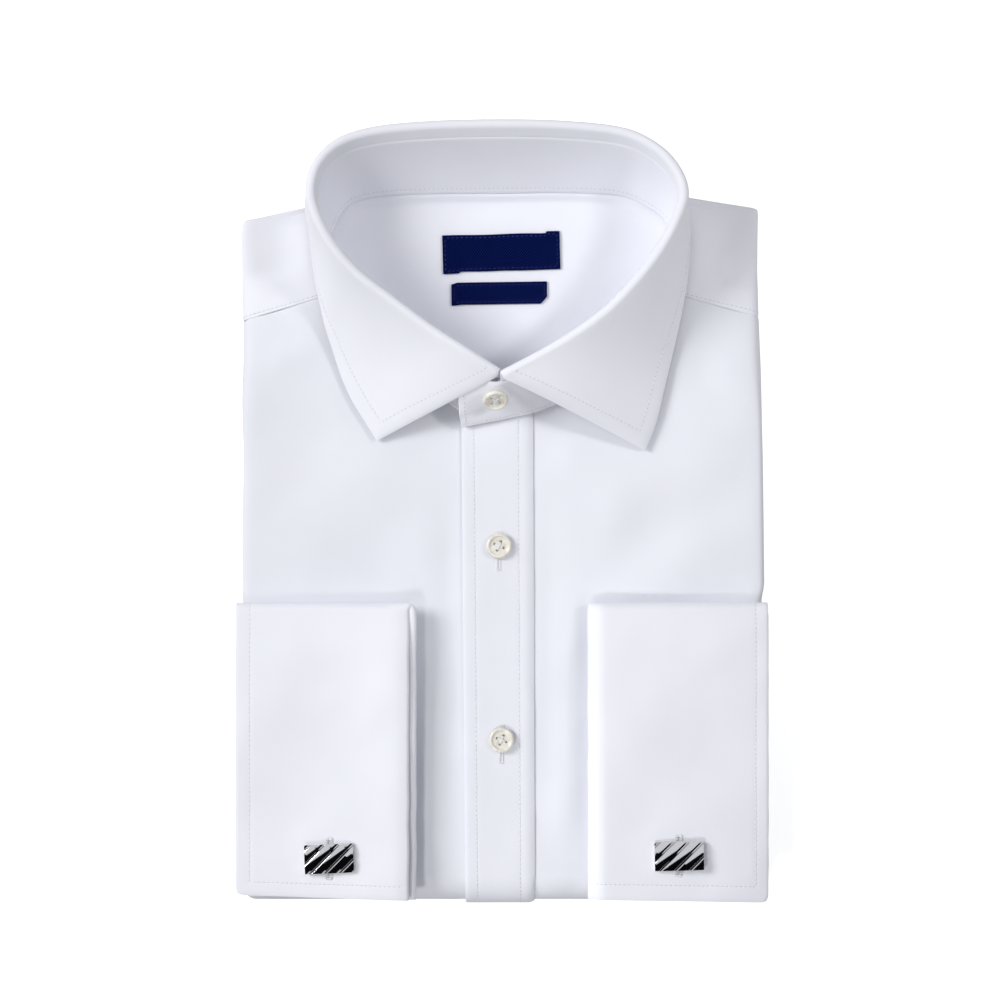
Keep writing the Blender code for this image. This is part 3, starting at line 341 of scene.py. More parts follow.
def wall(name, outer, inner, mat, keep=None, closed=False, rim=0.5, loop=False):
    """A closed wall between two grids of points. Borders are drawn in toward the middle so that edges look turned.
    closed joins the last column to the first. Coordinates for the weave are lengths along the cloth."""
    outer, inner = np.array(outer, float), np.array(inner, float)
    rows, cols = outer.shape[:2]
    cells = cols if closed else cols - 1
    on = np.ones((rows - 1, cells), bool)
    if keep is not None:
        for i in range(rows - 1):
            for j in range(cells):
                on[i, j] = keep(i, j)
    if rim:
        border = np.zeros((rows, cols), bool)
        count = np.zeros((rows, cols), int)
        for i in range(rows - 1):
            for j in range(cells):
                if on[i, j]:
                    k = (j + 1) % cols
                    count[i, j] += 1; count[i, k] += 1; count[i + 1, j] += 1; count[i + 1, k] += 1
        border = (count > 0) & (count < 4)
        mid = (outer + inner) / 2
        outer[border] = mid[border] + (outer[border] - mid[border]) * rim
        inner[border] = mid[border] + (inner[border] - mid[border]) * rim
    du = np.linalg.norm(np.diff(outer, axis=1), axis=2)
    dv = np.linalg.norm(np.diff(outer, axis=0), axis=2)
    u = np.concatenate([np.zeros((rows, 1)), np.cumsum(du, axis=1)], axis=1)
    v = np.concatenate([np.zeros((1, cols)), np.cumsum(dv, axis=0)], axis=0)
    u = u - u[:, cols // 2:cols // 2 + 1]
    v = v - v[rows // 2:rows // 2 + 1]
    index = -np.ones((2, rows, cols), int)
    verts, uvs = [], []
    used = np.zeros((rows, cols), bool)
    ii, jj = np.nonzero(on)
    for a, b in ((0, 0), (0, 1), (1, 0), (1, 1)):
        used[ii + a, (jj + b) % cols] = True
    for layer, grid in ((0, outer), (1, inner)):
        for i, j in zip(*np.nonzero(used)):
            index[layer, i, j] = len(verts)
            verts.append(tuple(grid[i, j]))
            uvs.append((u[i, j] * MM, v[i, j] * MM))
    faces = []
    for i, j in zip(ii.tolist(), jj.tolist()):
        k = (j + 1) % cols
        ring4 = [(i, j), (i, k), (i + 1, k), (i + 1, j)]
        faces.append([int(index[0, a, b]) for a, b in ring4])
        faces.append([int(index[1, a, b]) for a, b in reversed(ring4)])
        others = ((i - 1, j), (i, (j + 1) % cells if closed else j + 1), (i + 1, j), (i, (j - 1) % cells if closed else j - 1))
        for (a, b), other in zip(zip(ring4, ring4[1:] + ring4[:1]), others):
            inside = 0 <= other[0] < rows - 1 and 0 <= other[1] < cells and on[other]
            if not inside:
                faces.append([int(index[0, b[0], b[1]]), int(index[0, a[0], a[1]]), int(index[1, a[0], a[1]]), int(index[1, b[0], b[1]])])
    arr = np.asarray(verts)
    tri = []
    for f in faces:
        tri.append((f[0], f[1], f[2])); tri.append((f[0], f[2], f[3]))
    tri = np.asarray(tri)
    volume = np.einsum("ij,ij->i", arr[tri[:, 0]], np.cross(arr[tri[:, 1]], arr[tri[:, 2]])).sum()
    if volume < 0:
        faces = [f[::-1] for f in faces]
    mid = (outer + inner) / 2
    a = mid[:-1, :-1]; b = mid[:-1, 1:]; c = mid[1:, 1:]; d = mid[1:, :-1]
    area = (np.linalg.norm(np.cross(b - a, c - a), axis=2) / 2 + np.linalg.norm(np.cross(c - a, d - a), axis=2) / 2)
    if closed:
        area_total = area.sum() + (np.linalg.norm(np.cross(mid[:-1, 0] - mid[:-1, -1], mid[1:, 0] - mid[:-1, -1]), axis=1)).sum()
    else:
        area_total = (area * on).sum()
    obj = link(name, verts, faces, mat, uvs)
    obj["area_mm2"] = float(area_total)
    return obj


def thicken(middle, thick, closed=False):
    mid = np.asarray(middle, float)
    up = np.empty_like(mid); right = np.empty_like(mid)
    up[1:-1] = mid[2:] - mid[:-2]; up[0] = mid[1] - mid[0]; up[-1] = mid[-1] - mid[-2]
    if closed:
        right = np.roll(mid, -1, axis=1) - np.roll(mid, 1, axis=1)
    else:
        right[:, 1:-1] = mid[:, 2:] - mid[:, :-2]; right[:, 0] = mid[:, 1] - mid[:, 0]; right[:, -1] = mid[:, -1] - mid[:, -2]
    n = np.cross(right, up)
    n /= np.maximum(np.linalg.norm(n, axis=2, keepdims=True), 1e-9)
    t = np.asarray(thick, float)
    if t.ndim:
        t = t[..., None]
    return mid + n * t / 2, mid - n * t / 2


THREADS = {}
NEEDLE = {}


def unit(v):
    return v / max(np.linalg.norm(v), 1e-9)


def stitches(group, points, normals, length=1.4, gap=0.6, radius=0.19, lift=0.06):
    """Thread along a line on the cloth: short rounded stitches, each going into the cloth at its ends."""
    pts, nrm = np.asarray(points, float), np.asarray(normals, float)
    seg = np.linalg.norm(np.diff(pts, axis=0), axis=1)
    run = np.concatenate([[0], np.cumsum(seg)])
    bag = THREADS.setdefault(group, ([], []))
    s = gap
    while s + length < run[-1]:
        def sample(q):
            p = np.array([np.interp(q, run, pts[:, k]) for k in range(3)])
            n = np.array([np.interp(q, run, nrm[:, k]) for k in range(3)])
            return p, n / (np.linalg.norm(n) or 1)
        base = len(bag[0])
        rings = []
        for f, r, up in ((0.0, 0.25, -0.16), (0.16, 0.85, 0.0), (0.5, 1.0, 0.05), (0.84, 0.85, 0.0), (1.0, 0.25, -0.16)):
            p, n = sample(s + f * length)
            p2, _ = sample(min(run[-1], s + f * length + 0.1))
            t = p2 - p
            t /= (np.linalg.norm(t) or 1)
            b = np.cross(t, n)
            centre = p + n * (lift + up)
            for k in range(6):
                ang = math.pi * 2 * k / 6
                bag[0].append(tuple(centre + (b * math.cos(ang) + n * math.sin(ang) * 0.8) * radius * r))
            rings.append(base + 6 * (len(rings)))
        for a, c in zip(rings, rings[1:]):
            for k in range(6):
                m = (k + 1) % 6
                bag[1].append([a + k, a + m, c + m, c + k])
        bag[1].append([rings[0] + k for k in reversed(range(6))])
        bag[1].append([rings[-1] + k for k in range(6)])
        # the needle's hole in the cloth, after the stitch: a dark disc in painted shade for the shadow in the pinhole
        p, n = sample(s + length + gap / 2)
        q, _ = sample(min(run[-1], s + length + gap / 2 + 0.1))
        t = unit(q - p)
        b = np.cross(t, n)
        pit = NEEDLE.setdefault(group, ([], []))
        first = len(pit[0])
        for up, grow in ((0.015, 1.0), (-0.12, 0.5)):
            for k in range(6):
                w = 2 * math.pi * k / 6
                pit[0].append(tuple(p + n * up + (b * math.cos(w) * 0.20 + t * math.sin(w) * 0.24) * grow))
        pit[1].append([first + k for k in range(6)])
        pit[1].append([first + 6 + k for k in reversed(range(6))])
        for k in range(6):
            m = (k + 1) % 6
            pit[1].append([first + m, first + k, first + 6 + k, first + 6 + m])
        s += length + gap


def surface_line(point, lane, depth=0.0):
    """Points and outward normals along a lane of parameters, for a surface point(*params, depth)."""
    pts = np.array([point(*p, depth) for p in lane])
    deeper = np.array([point(*p, depth + 0.5) for p in lane])
    n = pts - deeper
    return pts, n / np.maximum(np.linalg.norm(n, axis=1, keepdims=True), 1e-9)


# -------------------------------------------------------------------- materials
class Nodes:
    """A small helper for building node materials."""

    def __init__(self, name):
        self.mat = bpy.data.materials.new(name)
        self.mat.use_nodes = True
        self.tree = self.mat.node_tree
        self.shader = self.tree.nodes["Principled BSDF"]

    def add(self, kind, **values):
        node = self.tree.nodes.new(kind)
        for key, value in values.items():
            if key.startswith("in_"):
                name = key[3:]
                node.inputs[int(name) if name.isdigit() else name.replace("_", " ")].default_value = value
            else:
                setattr(node, key, value)
        return node

    def join(self, a, b):
        self.tree.links.new(a, b)

    def math(self, op, a, b=None, c=None):
        node = self.tree.nodes.new("ShaderNodeMath")
        node.operation = op
        for k, v in enumerate((a, b, c)):
            if v is None:
                continue
            if isinstance(v, (int, float)):
                node.inputs[k].default_value = v
            else:
                self.join(v, node.inputs[k])
        return node.outputs[0]

    def set(self, **values):
        for key, value in values.items():
            self.shader.inputs[key.replace("_", " ")].default_value = value


def cotton(name, low, high, pitch=0.00034, weave=0.55, rough=0.86, sheen=0.12, crinkle=0.35):
    """White shirting: plain weave of single threads, slight unevenness of thread and tone."""
    n = Nodes(name)
    uv = n.add("ShaderNodeUVMap", uv_map="cloth")
    split = n.add("ShaderNodeSeparateXYZ")
    n.join(uv.outputs[0], split.inputs[0])
    geo = n.add("ShaderNodeTexCoord")
    wobble = n.add("ShaderNodeTexNoise", in_Scale=900.0, in_Detail=1.0)
    n.join(geo.outputs["Object"], wobble.inputs["Vector"])
    off = n.math("MULTIPLY", wobble.outputs["Fac"], 1.3)
    su = n.math("SINE", n.math("ADD", n.math("MULTIPLY", split.outputs[0], 2 * math.pi / pitch), off))
    sv = n.math("SINE", n.math("ADD", n.math("MULTIPLY", split.outputs[1], 2 * math.pi / pitch), off))
    plain = n.math("MULTIPLY_ADD", n.math("MULTIPLY", su, sv), 0.5, 0.5)
    slub = n.add("ShaderNodeTexNoise", in_Scale=160.0, in_Detail=3.0, in_Roughness=0.6)
    n.join(geo.outputs["Object"], slub.inputs["Vector"])
    height = n.math("ADD", n.math("MULTIPLY", plain, 0.5), n.math("MULTIPLY", slub.outputs["Fac"], crinkle))
    bump = n.add("ShaderNodeBump", in_Strength=weave, in_Distance=0.00006)
    n.join(height, bump.inputs["Height"])
    n.join(bump.outputs[0], n.shader.inputs["Normal"])
    cloud = n.add("ShaderNodeTexNoise", in_Scale=22.0, in_Detail=3.0, in_Roughness=0.55)
    n.join(geo.outputs["Object"], cloud.inputs["Vector"])
    tone = n.math("ADD", n.math("MULTIPLY", cloud.outputs["Fac"], 0.8), n.math("MULTIPLY", plain, 0.2))
    ramp = n.add("ShaderNodeValToRGB")
    ramp.color_ramp.elements[0].position, ramp.color_ramp.elements[1].position = 0.30, 0.72
    ramp.color_ramp.elements[0].color, ramp.color_ramp.elements[1].color = (*low, 1), (*high, 1)
    n.join(tone, ramp.inputs[0])
    n.join(ramp.outputs[0], n.shader.inputs["Base Color"])
    n.set(Roughness=rough, Sheen_Weight=sheen, Sheen_Roughness=0.45, Specular_IOR_Level=0.28)
    return n.mat


COTTON = cotton("cotton_poplin", (0.792, 0.803, 0.868), (0.828, 0.836, 0.900))
# painted shade: a darker copy of the same cotton for the fronts and placket, toning down their lit surfaces
COTTON_FRONT_SHADED = cotton("cotton_poplin_front_shaded", (0.762, 0.774, 0.838), (0.798, 0.807, 0.870))
# painted light: a lighter copy of the same cotton for the cuffs and the outer yoke, brightening them as if more
# strongly lit
COTTON_CUFF_LIT = cotton("cotton_poplin_cuff_lit", (0.818, 0.827, 0.890), (0.852, 0.859, 0.920))
COTTON_TRIM = cotton("cotton_poplin_trim", (0.802, 0.812, 0.872), (0.836, 0.843, 0.902), pitch=0.00032)
# painted light: a lighter copy of the same cotton for the collar stand, lifting its shaded inside
COTTON_STAND_LIT = cotton("cotton_poplin_stand_lit", (0.840, 0.848, 0.908), (0.872, 0.879, 0.936), pitch=0.00032)
COTTON_IN = cotton("cotton_poplin_inside", (0.796, 0.805, 0.868), (0.829, 0.837, 0.898), pitch=0.00036)


def thread_material():
    n = Nodes("thread_white")
    geo = n.add("ShaderNodeTexCoord")
    twist = n.add("ShaderNodeTexWave", in_Scale=1400.0, in_Distortion=2.0)
    n.join(geo.outputs["Object"], twist.inputs["Vector"])
    bump = n.add("ShaderNodeBump", in_Strength=0.5, in_Distance=0.00005)
    n.join(twist.outputs["Fac"], bump.inputs["Height"])
    n.join(bump.outputs[0], n.shader.inputs["Normal"])
    ramp = n.add("ShaderNodeValToRGB")
    ramp.color_ramp.elements[0].color, ramp.color_ramp.elements[1].color = (0.78, 0.79, 0.83, 1), (0.88, 0.89, 0.92, 1)
    n.join(twist.outputs["Fac"], ramp.inputs[0])
    n.join(ramp.outputs[0], n.shader.inputs["Base Color"])
    n.set(Roughness=0.6, Sheen_Weight=0.2, Specular_IOR_Level=0.4)
    return n.mat


THREAD = thread_material()


def navy_material():
    """Woven satin ribbon: slanting rows of floats."""
    n = Nodes("label_navy_twill")
    uv = n.add("ShaderNodeUVMap", uv_map="cloth")
    split = n.add("ShaderNodeSeparateXYZ")
    n.join(uv.outputs[0], split.inputs[0])
    slope = n.math("SUBTRACT", split.outputs[0], n.math("MULTIPLY", split.outputs[1], 0.84))
    line = n.math("SINE", n.math("MULTIPLY", slope, 2 * math.pi / 0.00116))
    fine = n.math("SINE", n.math("MULTIPLY", n.math("ADD", split.outputs[1], n.math("MULTIPLY", split.outputs[0], 0.1)), 2 * math.pi / 0.0003))
    geo = n.add("ShaderNodeTexCoord")
    grain = n.add("ShaderNodeTexNoise", in_Scale=1500.0, in_Detail=2.0)
    n.join(geo.outputs["Object"], grain.inputs["Vector"])
    height = n.math("ADD", n.math("MULTIPLY_ADD", line, 0.5, 0.5), n.math("MULTIPLY", fine, 0.15))
    bump = n.add("ShaderNodeBump", in_Strength=0.9, in_Distance=0.00012)
    n.join(height, bump.inputs["Height"])
    n.join(bump.outputs[0], n.shader.inputs["Normal"])
    tone = n.math("ADD", n.math("MULTIPLY_ADD", line, 0.38, 0.35), n.math("MULTIPLY", grain.outputs["Fac"], 0.3))
    ramp = n.add("ShaderNodeValToRGB")
    ramp.color_ramp.elements[0].position, ramp.color_ramp.elements[1].position = 0.2, 0.95
    ramp.color_ramp.elements[0].color, ramp.color_ramp.elements[1].color = (0.0001, 0.0002, 0.003, 1), (0.0040, 0.0130, 0.118, 1)
    n.join(tone, ramp.inputs[0])
    n.join(ramp.outputs[0], n.shader.inputs["Base Color"])
    n.set(Roughness=0.85, Specular_IOR_Level=0.02)
    return n.mat


NAVY = navy_material()


def pearl_material():
    n = Nodes("button_pearl_resin")
    geo = n.add("ShaderNodeTexCoord")
    swirl = n.add("ShaderNodeTexNoise", in_Scale=240.0, in_Detail=4.0, in_Distortion=1.8)
    n.join(geo.outputs["Object"], swirl.inputs["Vector"])
    ramp = n.add("ShaderNodeValToRGB")
    ramp.color_ramp.elements[0].position, ramp.color_ramp.elements[1].position = 0.32, 0.70
    ramp.color_ramp.elements[0].color, ramp.color_ramp.elements[1].color = (0.66, 0.62, 0.53, 1), (0.86, 0.84, 0.78, 1)
    n.join(swirl.outputs["Fac"], ramp.inputs[0])
    n.join(ramp.outputs[0], n.shader.inputs["Base Color"])
    bump = n.add("ShaderNodeBump", in_Strength=0.12, in_Distance=0.0001)
    n.join(swirl.outputs["Fac"], bump.inputs["Height"])
    n.join(bump.outputs[0], n.shader.inputs["Normal"])
    n.set(Roughness=0.24, Coat_Weight=0.35, Coat_Roughness=0.12, IOR=1.54)
    return n.mat


PEARL = pearl_material()


def chrome_material():
    n = Nodes("cufflink_chrome")
    geo = n.add("ShaderNodeTexCoord")
    scratch = n.add("ShaderNodeTexNoise", in_Scale=2600.0, in_Detail=2.0)
    n.join(geo.outputs["Object"], scratch.inputs["Vector"])
    rough = n.add("ShaderNodeMapRange", in_3=0.03, in_4=0.07)
    n.join(scratch.outputs["Fac"], rough.inputs[0])
    n.join(rough.outputs[0], n.shader.inputs["Roughness"])
    n.set(Base_Color=(0.93, 0.93, 0.945, 1), Metallic=1.0)
    return n.mat


CHROME = chrome_material()


# --------------------------------------------------------------------- the body
GROOVE = 0.10


def groove(distance, width=0.55, deep=GROOVE):
    return deep * bell(distance, width)


def under_cuff(x, y):
    """1 where a cuff lies on the front."""
    a = abs(x)
    return smooth((a - 33.0) / 3.0) * smooth((-33.5 - y) / 3.0)


def laid(x, y):
    """Relief of the fronts as laid, held down under the cuffs."""
    value = front_relief(x, y)
    cover = under_cuff(x, y)
    return mix(value, min(value, 0.0) * 0.4, cover)


def front(name, side, top, inner_x):
    cols = [("flat", a) for a in spread(inner_x * side, 86.0, 2.1)]
    cols += [("edge", k / 5) for k in range(1, 6)] + [("roll", k / 12) for k in range(1, 13)] + [("lip", f) for f in (0.3, 0.65, 0.97, 1.0)]
    reach = edge_x(side, 84.0)

    def place_of(kind, v, y):
        r = (PACKET - shoulder_fall(y) - rest_height(y)) / 2
        flat = edge_x(side, y) - r
        if kind == "flat":
            return v, flat
        if kind == "edge":
            return mix(86.0, flat, v), flat
        if kind == "roll":
            return flat + r * math.pi * v, flat
        return flat + r * math.pi + LIP * v, flat

    def head_of(kind, v):
        if kind == "flat":
            return at(top, side * v)
        if kind == "edge":
            return at(top, side * mix(86.0, reach - 9.8, v))
        if kind == "roll":
            return at(top, side * (reach - 9.8 * (1 - math.sin(math.pi * min(v, 0.5)))))
        return at(top, side * reach)

    heads = [head_of(*c) for c in cols]
    shares = spread(0.0, 1.0, 0.0105, rim=0.0022)

    def row(share, s, depth):
        line = []
        for (kind, v), head in zip(cols, heads):
            y = mix(head, ROLL_Y, share)
            a, flat = place_of(kind, v, y)
            off = smooth((a - flat + 7.0) / 8.0)
            seam = smooth((head - y) / 5.0) * smooth((y - ROLL_Y) / 12.0)
            lift = laid(side * min(a, flat), y) * (1 - off) * seam
            if s <= 0 and y > -36:
                lift += off * 0.45 * soft_noise(y, side * 40.0, 26.0, 5) * seam * smooth((y + 36) / 10)
            extra = 0.0
            if s > 0 and a < (17.5 if side < 0 else 15.2):
                extra = PLACKET_LIFT * roll_share(s)
            if s > 0 and a < 36:
                lift += 0.5 * bell(s - 6.0, 7.0) * soft_noise(a, side * 9.0, 9.0, 6)
            line.append(packet(side, a, y, s, depth + extra - lift))
        return line

    steps = [TURN_LEN * k / 14 for k in range(1, 15)] + [TURN_LEN + UNDER * f for f in (0.1, 0.2, 0.32, 0.44, 0.56, 0.68, 0.8, 0.9, 0.96, 0.998, 1.0)]

    def under_seam(up, sink, depth):
        """Seam allowance: the top edge goes on under the yoke and the stand."""
        line = []
        for (x, y, z), (x2, y2, z2) in zip(row(0.0, 0, depth + sink), row(0.004, 0, depth + sink)):
            k = up / max(1e-6, math.dist((x, y, z), (x2, y2, z2)))
            line.append((x + (x - x2) * k, y + (y - y2) * k, z + (z - z2) * k))
        return line

    def grid(depth):
        return [under_seam(1.3, 1.06, depth), under_seam(0.5, 0.36, depth), row(0.0, 0, depth + 0.09)] + [row(f, 0, depth + 0.04 * bell(f * 200, 1.0)) for f in shares[1:]] + [row(1.0, s, depth) for s in steps]

    return wall(name, grid(0.0), grid(CLOTH), COTTON_FRONT_SHADED)


FRONT_RIGHT = front("shirt_front_right", -1, FRONT_TOP_LEFT, 11.0)
FRONT_LEFT = front("shirt_front_left", 1, FRONT_TOP_RIGHT, 11.6)


# ------------------------------------------------------------------- the placket
def placket_x(y, edges):
    share = min(1.0, max(0.0, (43 - y) / (43 - ROLL_Y)))
    return mix(edges[0], edges[1], share)


PLACKET_HEADS = [(-17.5, 39.5), (-2.0, 41.4), (13.4, 44.2)]
PLACKET_LANES = (5.2, 6.4)          # stitch lines, from the free edge and from the seam


def placket_point(u, share, s, depth):
    """u runs 0..1 across."""
    x_head = mix(PLACKET_LEFT[0], PLACKET_RIGHT[0], u)
    y = mix(at(PLACKET_HEADS, x_head), ROLL_Y, share)
    left, right = placket_x(y, PLACKET_LEFT), placket_x(y, PLACKET_RIGHT)
    x = mix(left, right, u)
    at_seam = 1 - smooth((1 - u) * PLACKET_WIDE / 2.4)
    lift = (PLACKET_LIFT - 0.85 * at_seam) * (1 - roll_share(s) if s > 0 else 1)
    if depth > 0.5 and s <= 0:
        depth -= 0.80 * at_seam
    lift += laid(x, y) * smooth(share / 0.03) * smooth((y - ROLL_Y) / 12.0) * (1 if s <= 0 else 0)
    wave = 0.16 * soft_noise(y if s <= 0 else ROLL_Y - s, 0.0, 11.0, 8) + 0.09 * soft_noise(x, y - s, 6.0, 9)
    lift += wave * smooth(share / 0.03) * (1.0 if s <= 0 else 1 - smooth(s / 20))
    if s > 0:
        return bend(x, PACKET + lift - depth, s)
    return x, y, top_height(x, y) + lift - depth


PLACKET_WIDE = 30.4
PLACKET_MARKS = (PLACKET_LANES[0] / PLACKET_WIDE, 1 - PLACKET_LANES[1] / PLACKET_WIDE)


def placket():
    us = sorted({round(k / 15, 4) for k in range(16)} | {0.014, 0.986} | {round(m + d / PLACKET_WIDE, 5) for m in PLACKET_MARKS for d in (-0.8, -0.35, 0.0, 0.35, 0.8)})
    shares = spread(0.0, 1.0, 0.0085, rim=0.0022)
    steps = [TURN_LEN * k / 14 for k in range(1, 15)] + [TURN_LEN + UNDER * f for f in (0.15, 0.3, 0.45, 0.6, 0.75, 0.88, 0.96, 0.998, 1.0)]

    def cut_in(u):
        return sum(groove((u - m) * PLACKET_WIDE) for m in PLACKET_MARKS)

    def grid(depth):
        rows = [[placket_point(u, f, 0, depth + (cut_in(u) if depth == 0 else 0)) for u in us] for f in shares]
        rows += [[placket_point(u, 1.0, s, depth + (cut_in(u) if depth == 0 else 0)) for u in us] for s in steps]
        return rows

    obj = wall("shirt_placket", grid(0.0), grid(PLACKET_T), COTTON_FRONT_SHADED)
    for m in PLACKET_MARKS:
        lane = [(m, f / 300, 0) for f in range(2, 301)] + [(m, 1.0, TURN_LEN * k / 40) for k in range(1, 41)] + [(m, 1.0, TURN_LEN + UNDER * k / 200) for k in range(1, 199)]
        pts, nrm = surface_line(placket_point, lane, GROOVE * 0.75)
        stitches("shirt_placket", pts, nrm)
    return obj


PLACKET = placket()


# ---------------------------------------------------------------------- the yoke
YOKE_ROWS = [(s, *e, *b) for s, e, b in YOKE]


def yoke_row(t):
    station, ex, ey, bx, by = spline(YOKE_ROWS, t)
    return station, ex, ey, bx, by


def yoke_relief(x, y):
    return 0.6 * soft_noise(x, y, 22.0, 11) + 0.22 * soft_noise(x, y, 9.0, 12)


def yoke_point(t, part, v, depth):
    station, ex, ey, bx, by = yoke_row(t)
    seam, _, _, _ = collar_row(station)
    dx, dy = seam[0] - RING_CENTRE[0], seam[1] - RING_CENTRE[1]
    length = math.hypot(dx, dy)
    nx, ny = seam[0] + dx / length * 0.3, seam[1] + dy / length * 0.3
    away = math.hypot(ex - nx, ey - ny)
    ux, uy = (ex - nx) / away, (ey - ny) / away
    end_high = min(top_height(ex, ey), mix(14.2, 99.0, smooth((away - 11.0) / 3.0)))
    end_high = mix(end_high, min(end_high, 13.6), smooth((ey - 97.0) / 6.0) * smooth((away - 10.0) / 3.0))
    r = min(end_high / 2, away - 0.6)
    cx, cy = ex - ux * r, ey - uy * r
    if part == "top":
        x, y = mix(nx, cx, v), mix(ny, cy, v)
        z = mix(top_height(x, y), end_high, smooth(max(0.0, v - 0.3) / 0.7))
        near = smooth(v / 0.25) * smooth((1 - v) / 0.3) * smooth(min(t, 24 - t) / 1.2) * smooth((away - 14) / 10)
        return x, y, z + yoke_relief(x, y) * near - depth
    if part == "turn":
        across, up = blunt(v * math.pi, 0.5)
        reach = (r - depth) * across
        return cx + ux * reach, cy + uy * reach, end_high / 2 + (end_high / 2 - depth) * up
    x, y = mix(cx, bx, v), mix(cy, by, v)
    return x, y, depth


def yoke():
    ts = spread(0.0, 24.0, 0.22, marks=(), rim=0.05)
    ts = sorted(set(ts) | {0.12, 0.17, 0.22, 0.27, 23.73, 23.78, 23.83, 23.88})
    stops = [("top", v) for v in (0.0, 0.02, 0.06, 0.11, 0.17, 0.24, 0.31, 0.39, 0.47, 0.55, 0.63, 0.71, 0.79, 0.87, 0.94, 1.0)]
    stops += [("turn", k / 10) for k in range(1, 11)] + [("under", v) for v in (0.25, 0.5, 0.75, 0.97, 1.0)]

    def cut_in(t, kind):
        return (groove((t - 0.2) * 8.0) + groove((23.8 - t) * 8.0)) if kind != "under" else 0.0

    def grid(depth):
        return [[yoke_point(t, kind, v, depth + (cut_in(t, kind) if depth == 0 else 0)) for kind, v in stops] for t in ts]

    obj = wall("shirt_yoke_outer", grid(0.0), grid(CLOTH), COTTON_CUFF_LIT)
    for t in (0.2, 23.8):
        lane = [(t, "top", k / 60) for k in range(1, 60)] + [(t, "turn", k / 30) for k in range(0, 24)]
        pts, nrm = surface_line(yoke_point, lane, GROOVE * 0.75)
        stitches("shirt_yoke_outer", pts, nrm)
    return obj


YOKE_OUTER = yoke()


def neck_floor(x, y):
    share, _, cloth = ring(x, y)
    return mix(cloth - 0.2, 15.0, smooth((1 - share) / 0.34))


def neck_surface(x, y):
    share = ring(x, y)[0]
    return neck_floor(x, y) + 1.6 * smooth((share - 0.90) / 0.08) + (0.40 * soft_noise(x, y, 24.0, 14) + 0.12 * soft_noise(x, y, 9.0, 15) - 0.25) * smooth((1 - share) / 0.2)


def inside_yoke():
    rows = []
    for y, left, right in ((45.4, -7.0, 10.0), (46.6, -11.5, 15.0), (48.4, -17.0, 21.0)):
        rows.append((y, left, right))
    for k in range(0, 101):
        y, left, right = spline(NECK_SIDES, k / 10)
        rows.append((float(y) + 1.4 * smooth((y - 132) / 5), float(left) - 1.4, float(right) + 1.4))

    def grid(depth):
        return [[(x, y, neck_surface(x, y) - depth) for x in (mix(l, r, f) for f in spread(0.0, 1.0, 0.02, rim=0.004))] for y, l, r in rows]

    return wall("shirt_yoke_inner", grid(0.0), grid(CLOTH), COTTON_IN)


YOKE_INNER = inside_yoke()


def back():
    def row(y, depth):
        half = [edge_x(side, y) - (PACKET - shoulder_fall(y) - rest_height(y)) / 2 - LIP - 0.8 for side in (-1, 1)]
        line = []
        for k in range(61):
            x = mix(-half[0], half[1], k / 60)
            tuck = 0.25 * (bell(x + 14, 2.0) + bell(x - 14, 2.0)) * smooth((y - 30) / 12)
            line.append((x, y, rest_height(y) + depth + tuck))
        return line

    ys = spread(75.6, 24.0, 1.8)
    return wall("shirt_back", [row(y, 0.0) for y in ys], [row(y, CLOTH) for y in ys], COTTON)


BACK = back()


# -------------------------------------------------------------------- the collar
def collar_frame(t):
    seam, _, fold, edge = (np.asarray(c, float) for c in collar_row(t))
    up = unit(fold - seam)
    _, _, fa, _ = collar_row(max(t - 0.5, 0.0))
    _, _, fb, _ = collar_row(min(t + 0.5, 24.0))
    out = unit(np.cross(up, np.asarray(fb) - np.asarray(fa)))
    if np.dot(out, fold - np.array([*RING_CENTRE, fold[2]])) < 0:
        out = -out
    return seam, fold, edge, up, out


LEAF_ROWS = 24.0


def leaf_waves(t, share):
    """Soft unevenness across the leaf, largest in the middle of its fall."""
    fall = math.sin(math.pi * min(1.0, max(0.0, share)))
    value = 0.55 * soft_noise(t * 4.6, share * 16.0, 12.0, 21) + 0.2 * soft_noise(t * 4.6, share * 16.0, 5.0, 22)
    return value * fall + (4.0 * smooth((t - 17.5) / 3.5) + 0.4 * smooth((5.0 - t) / 4.0)) * math.sin(math.pi * min(1.0, max(0.0, share)) ** 0.85)


def leaf_line(t):
    """Middle surface across the leaf: from inside the stand over the fold to the outer edge, by length."""
    seam, fold, edge, up, out = collar_frame(t)
    centre = fold - FOLD_R * up
    first = centre - FOLD_R * out - (FOLD_LEG + 0.32) * up
    pts = [first + (centre - FOLD_R * out - first) * k / 4 for k in range(5)]
    pts += [centre - FOLD_R * out * math.cos(a) + FOLD_R * up * math.sin(a) for a in (math.pi * k / 10 for k in range(1, 11))]
    start = pts[-1]
    reach = np.linalg.norm(edge - start)
    control = start + mix((edge - start) * 0.33, -up * reach * 0.30, smooth(min(t, 24 - t) / 3))
    side = unit(np.cross(edge - start, up))
    side = unit(np.cross(side, edge - start))
    if np.dot(side, out) < 0:
        side = -side
    for k in range(1, 41):
        q = k / 40
        p = (1 - q) ** 2 * start + 2 * q * (1 - q) * control + q * q * edge
        pts.append(p + side * leaf_waves(t, q) * smooth(min(t, 24 - t) / 0.6 + 0.35))
    pts = np.array(pts)
    run = np.concatenate([[0], np.cumsum(np.linalg.norm(np.diff(pts, axis=0), axis=1))])
    return pts, run


def leaf_at(pts, run, where):
    return np.array([np.interp(where, run, pts[:, k]) for k in range(3)])


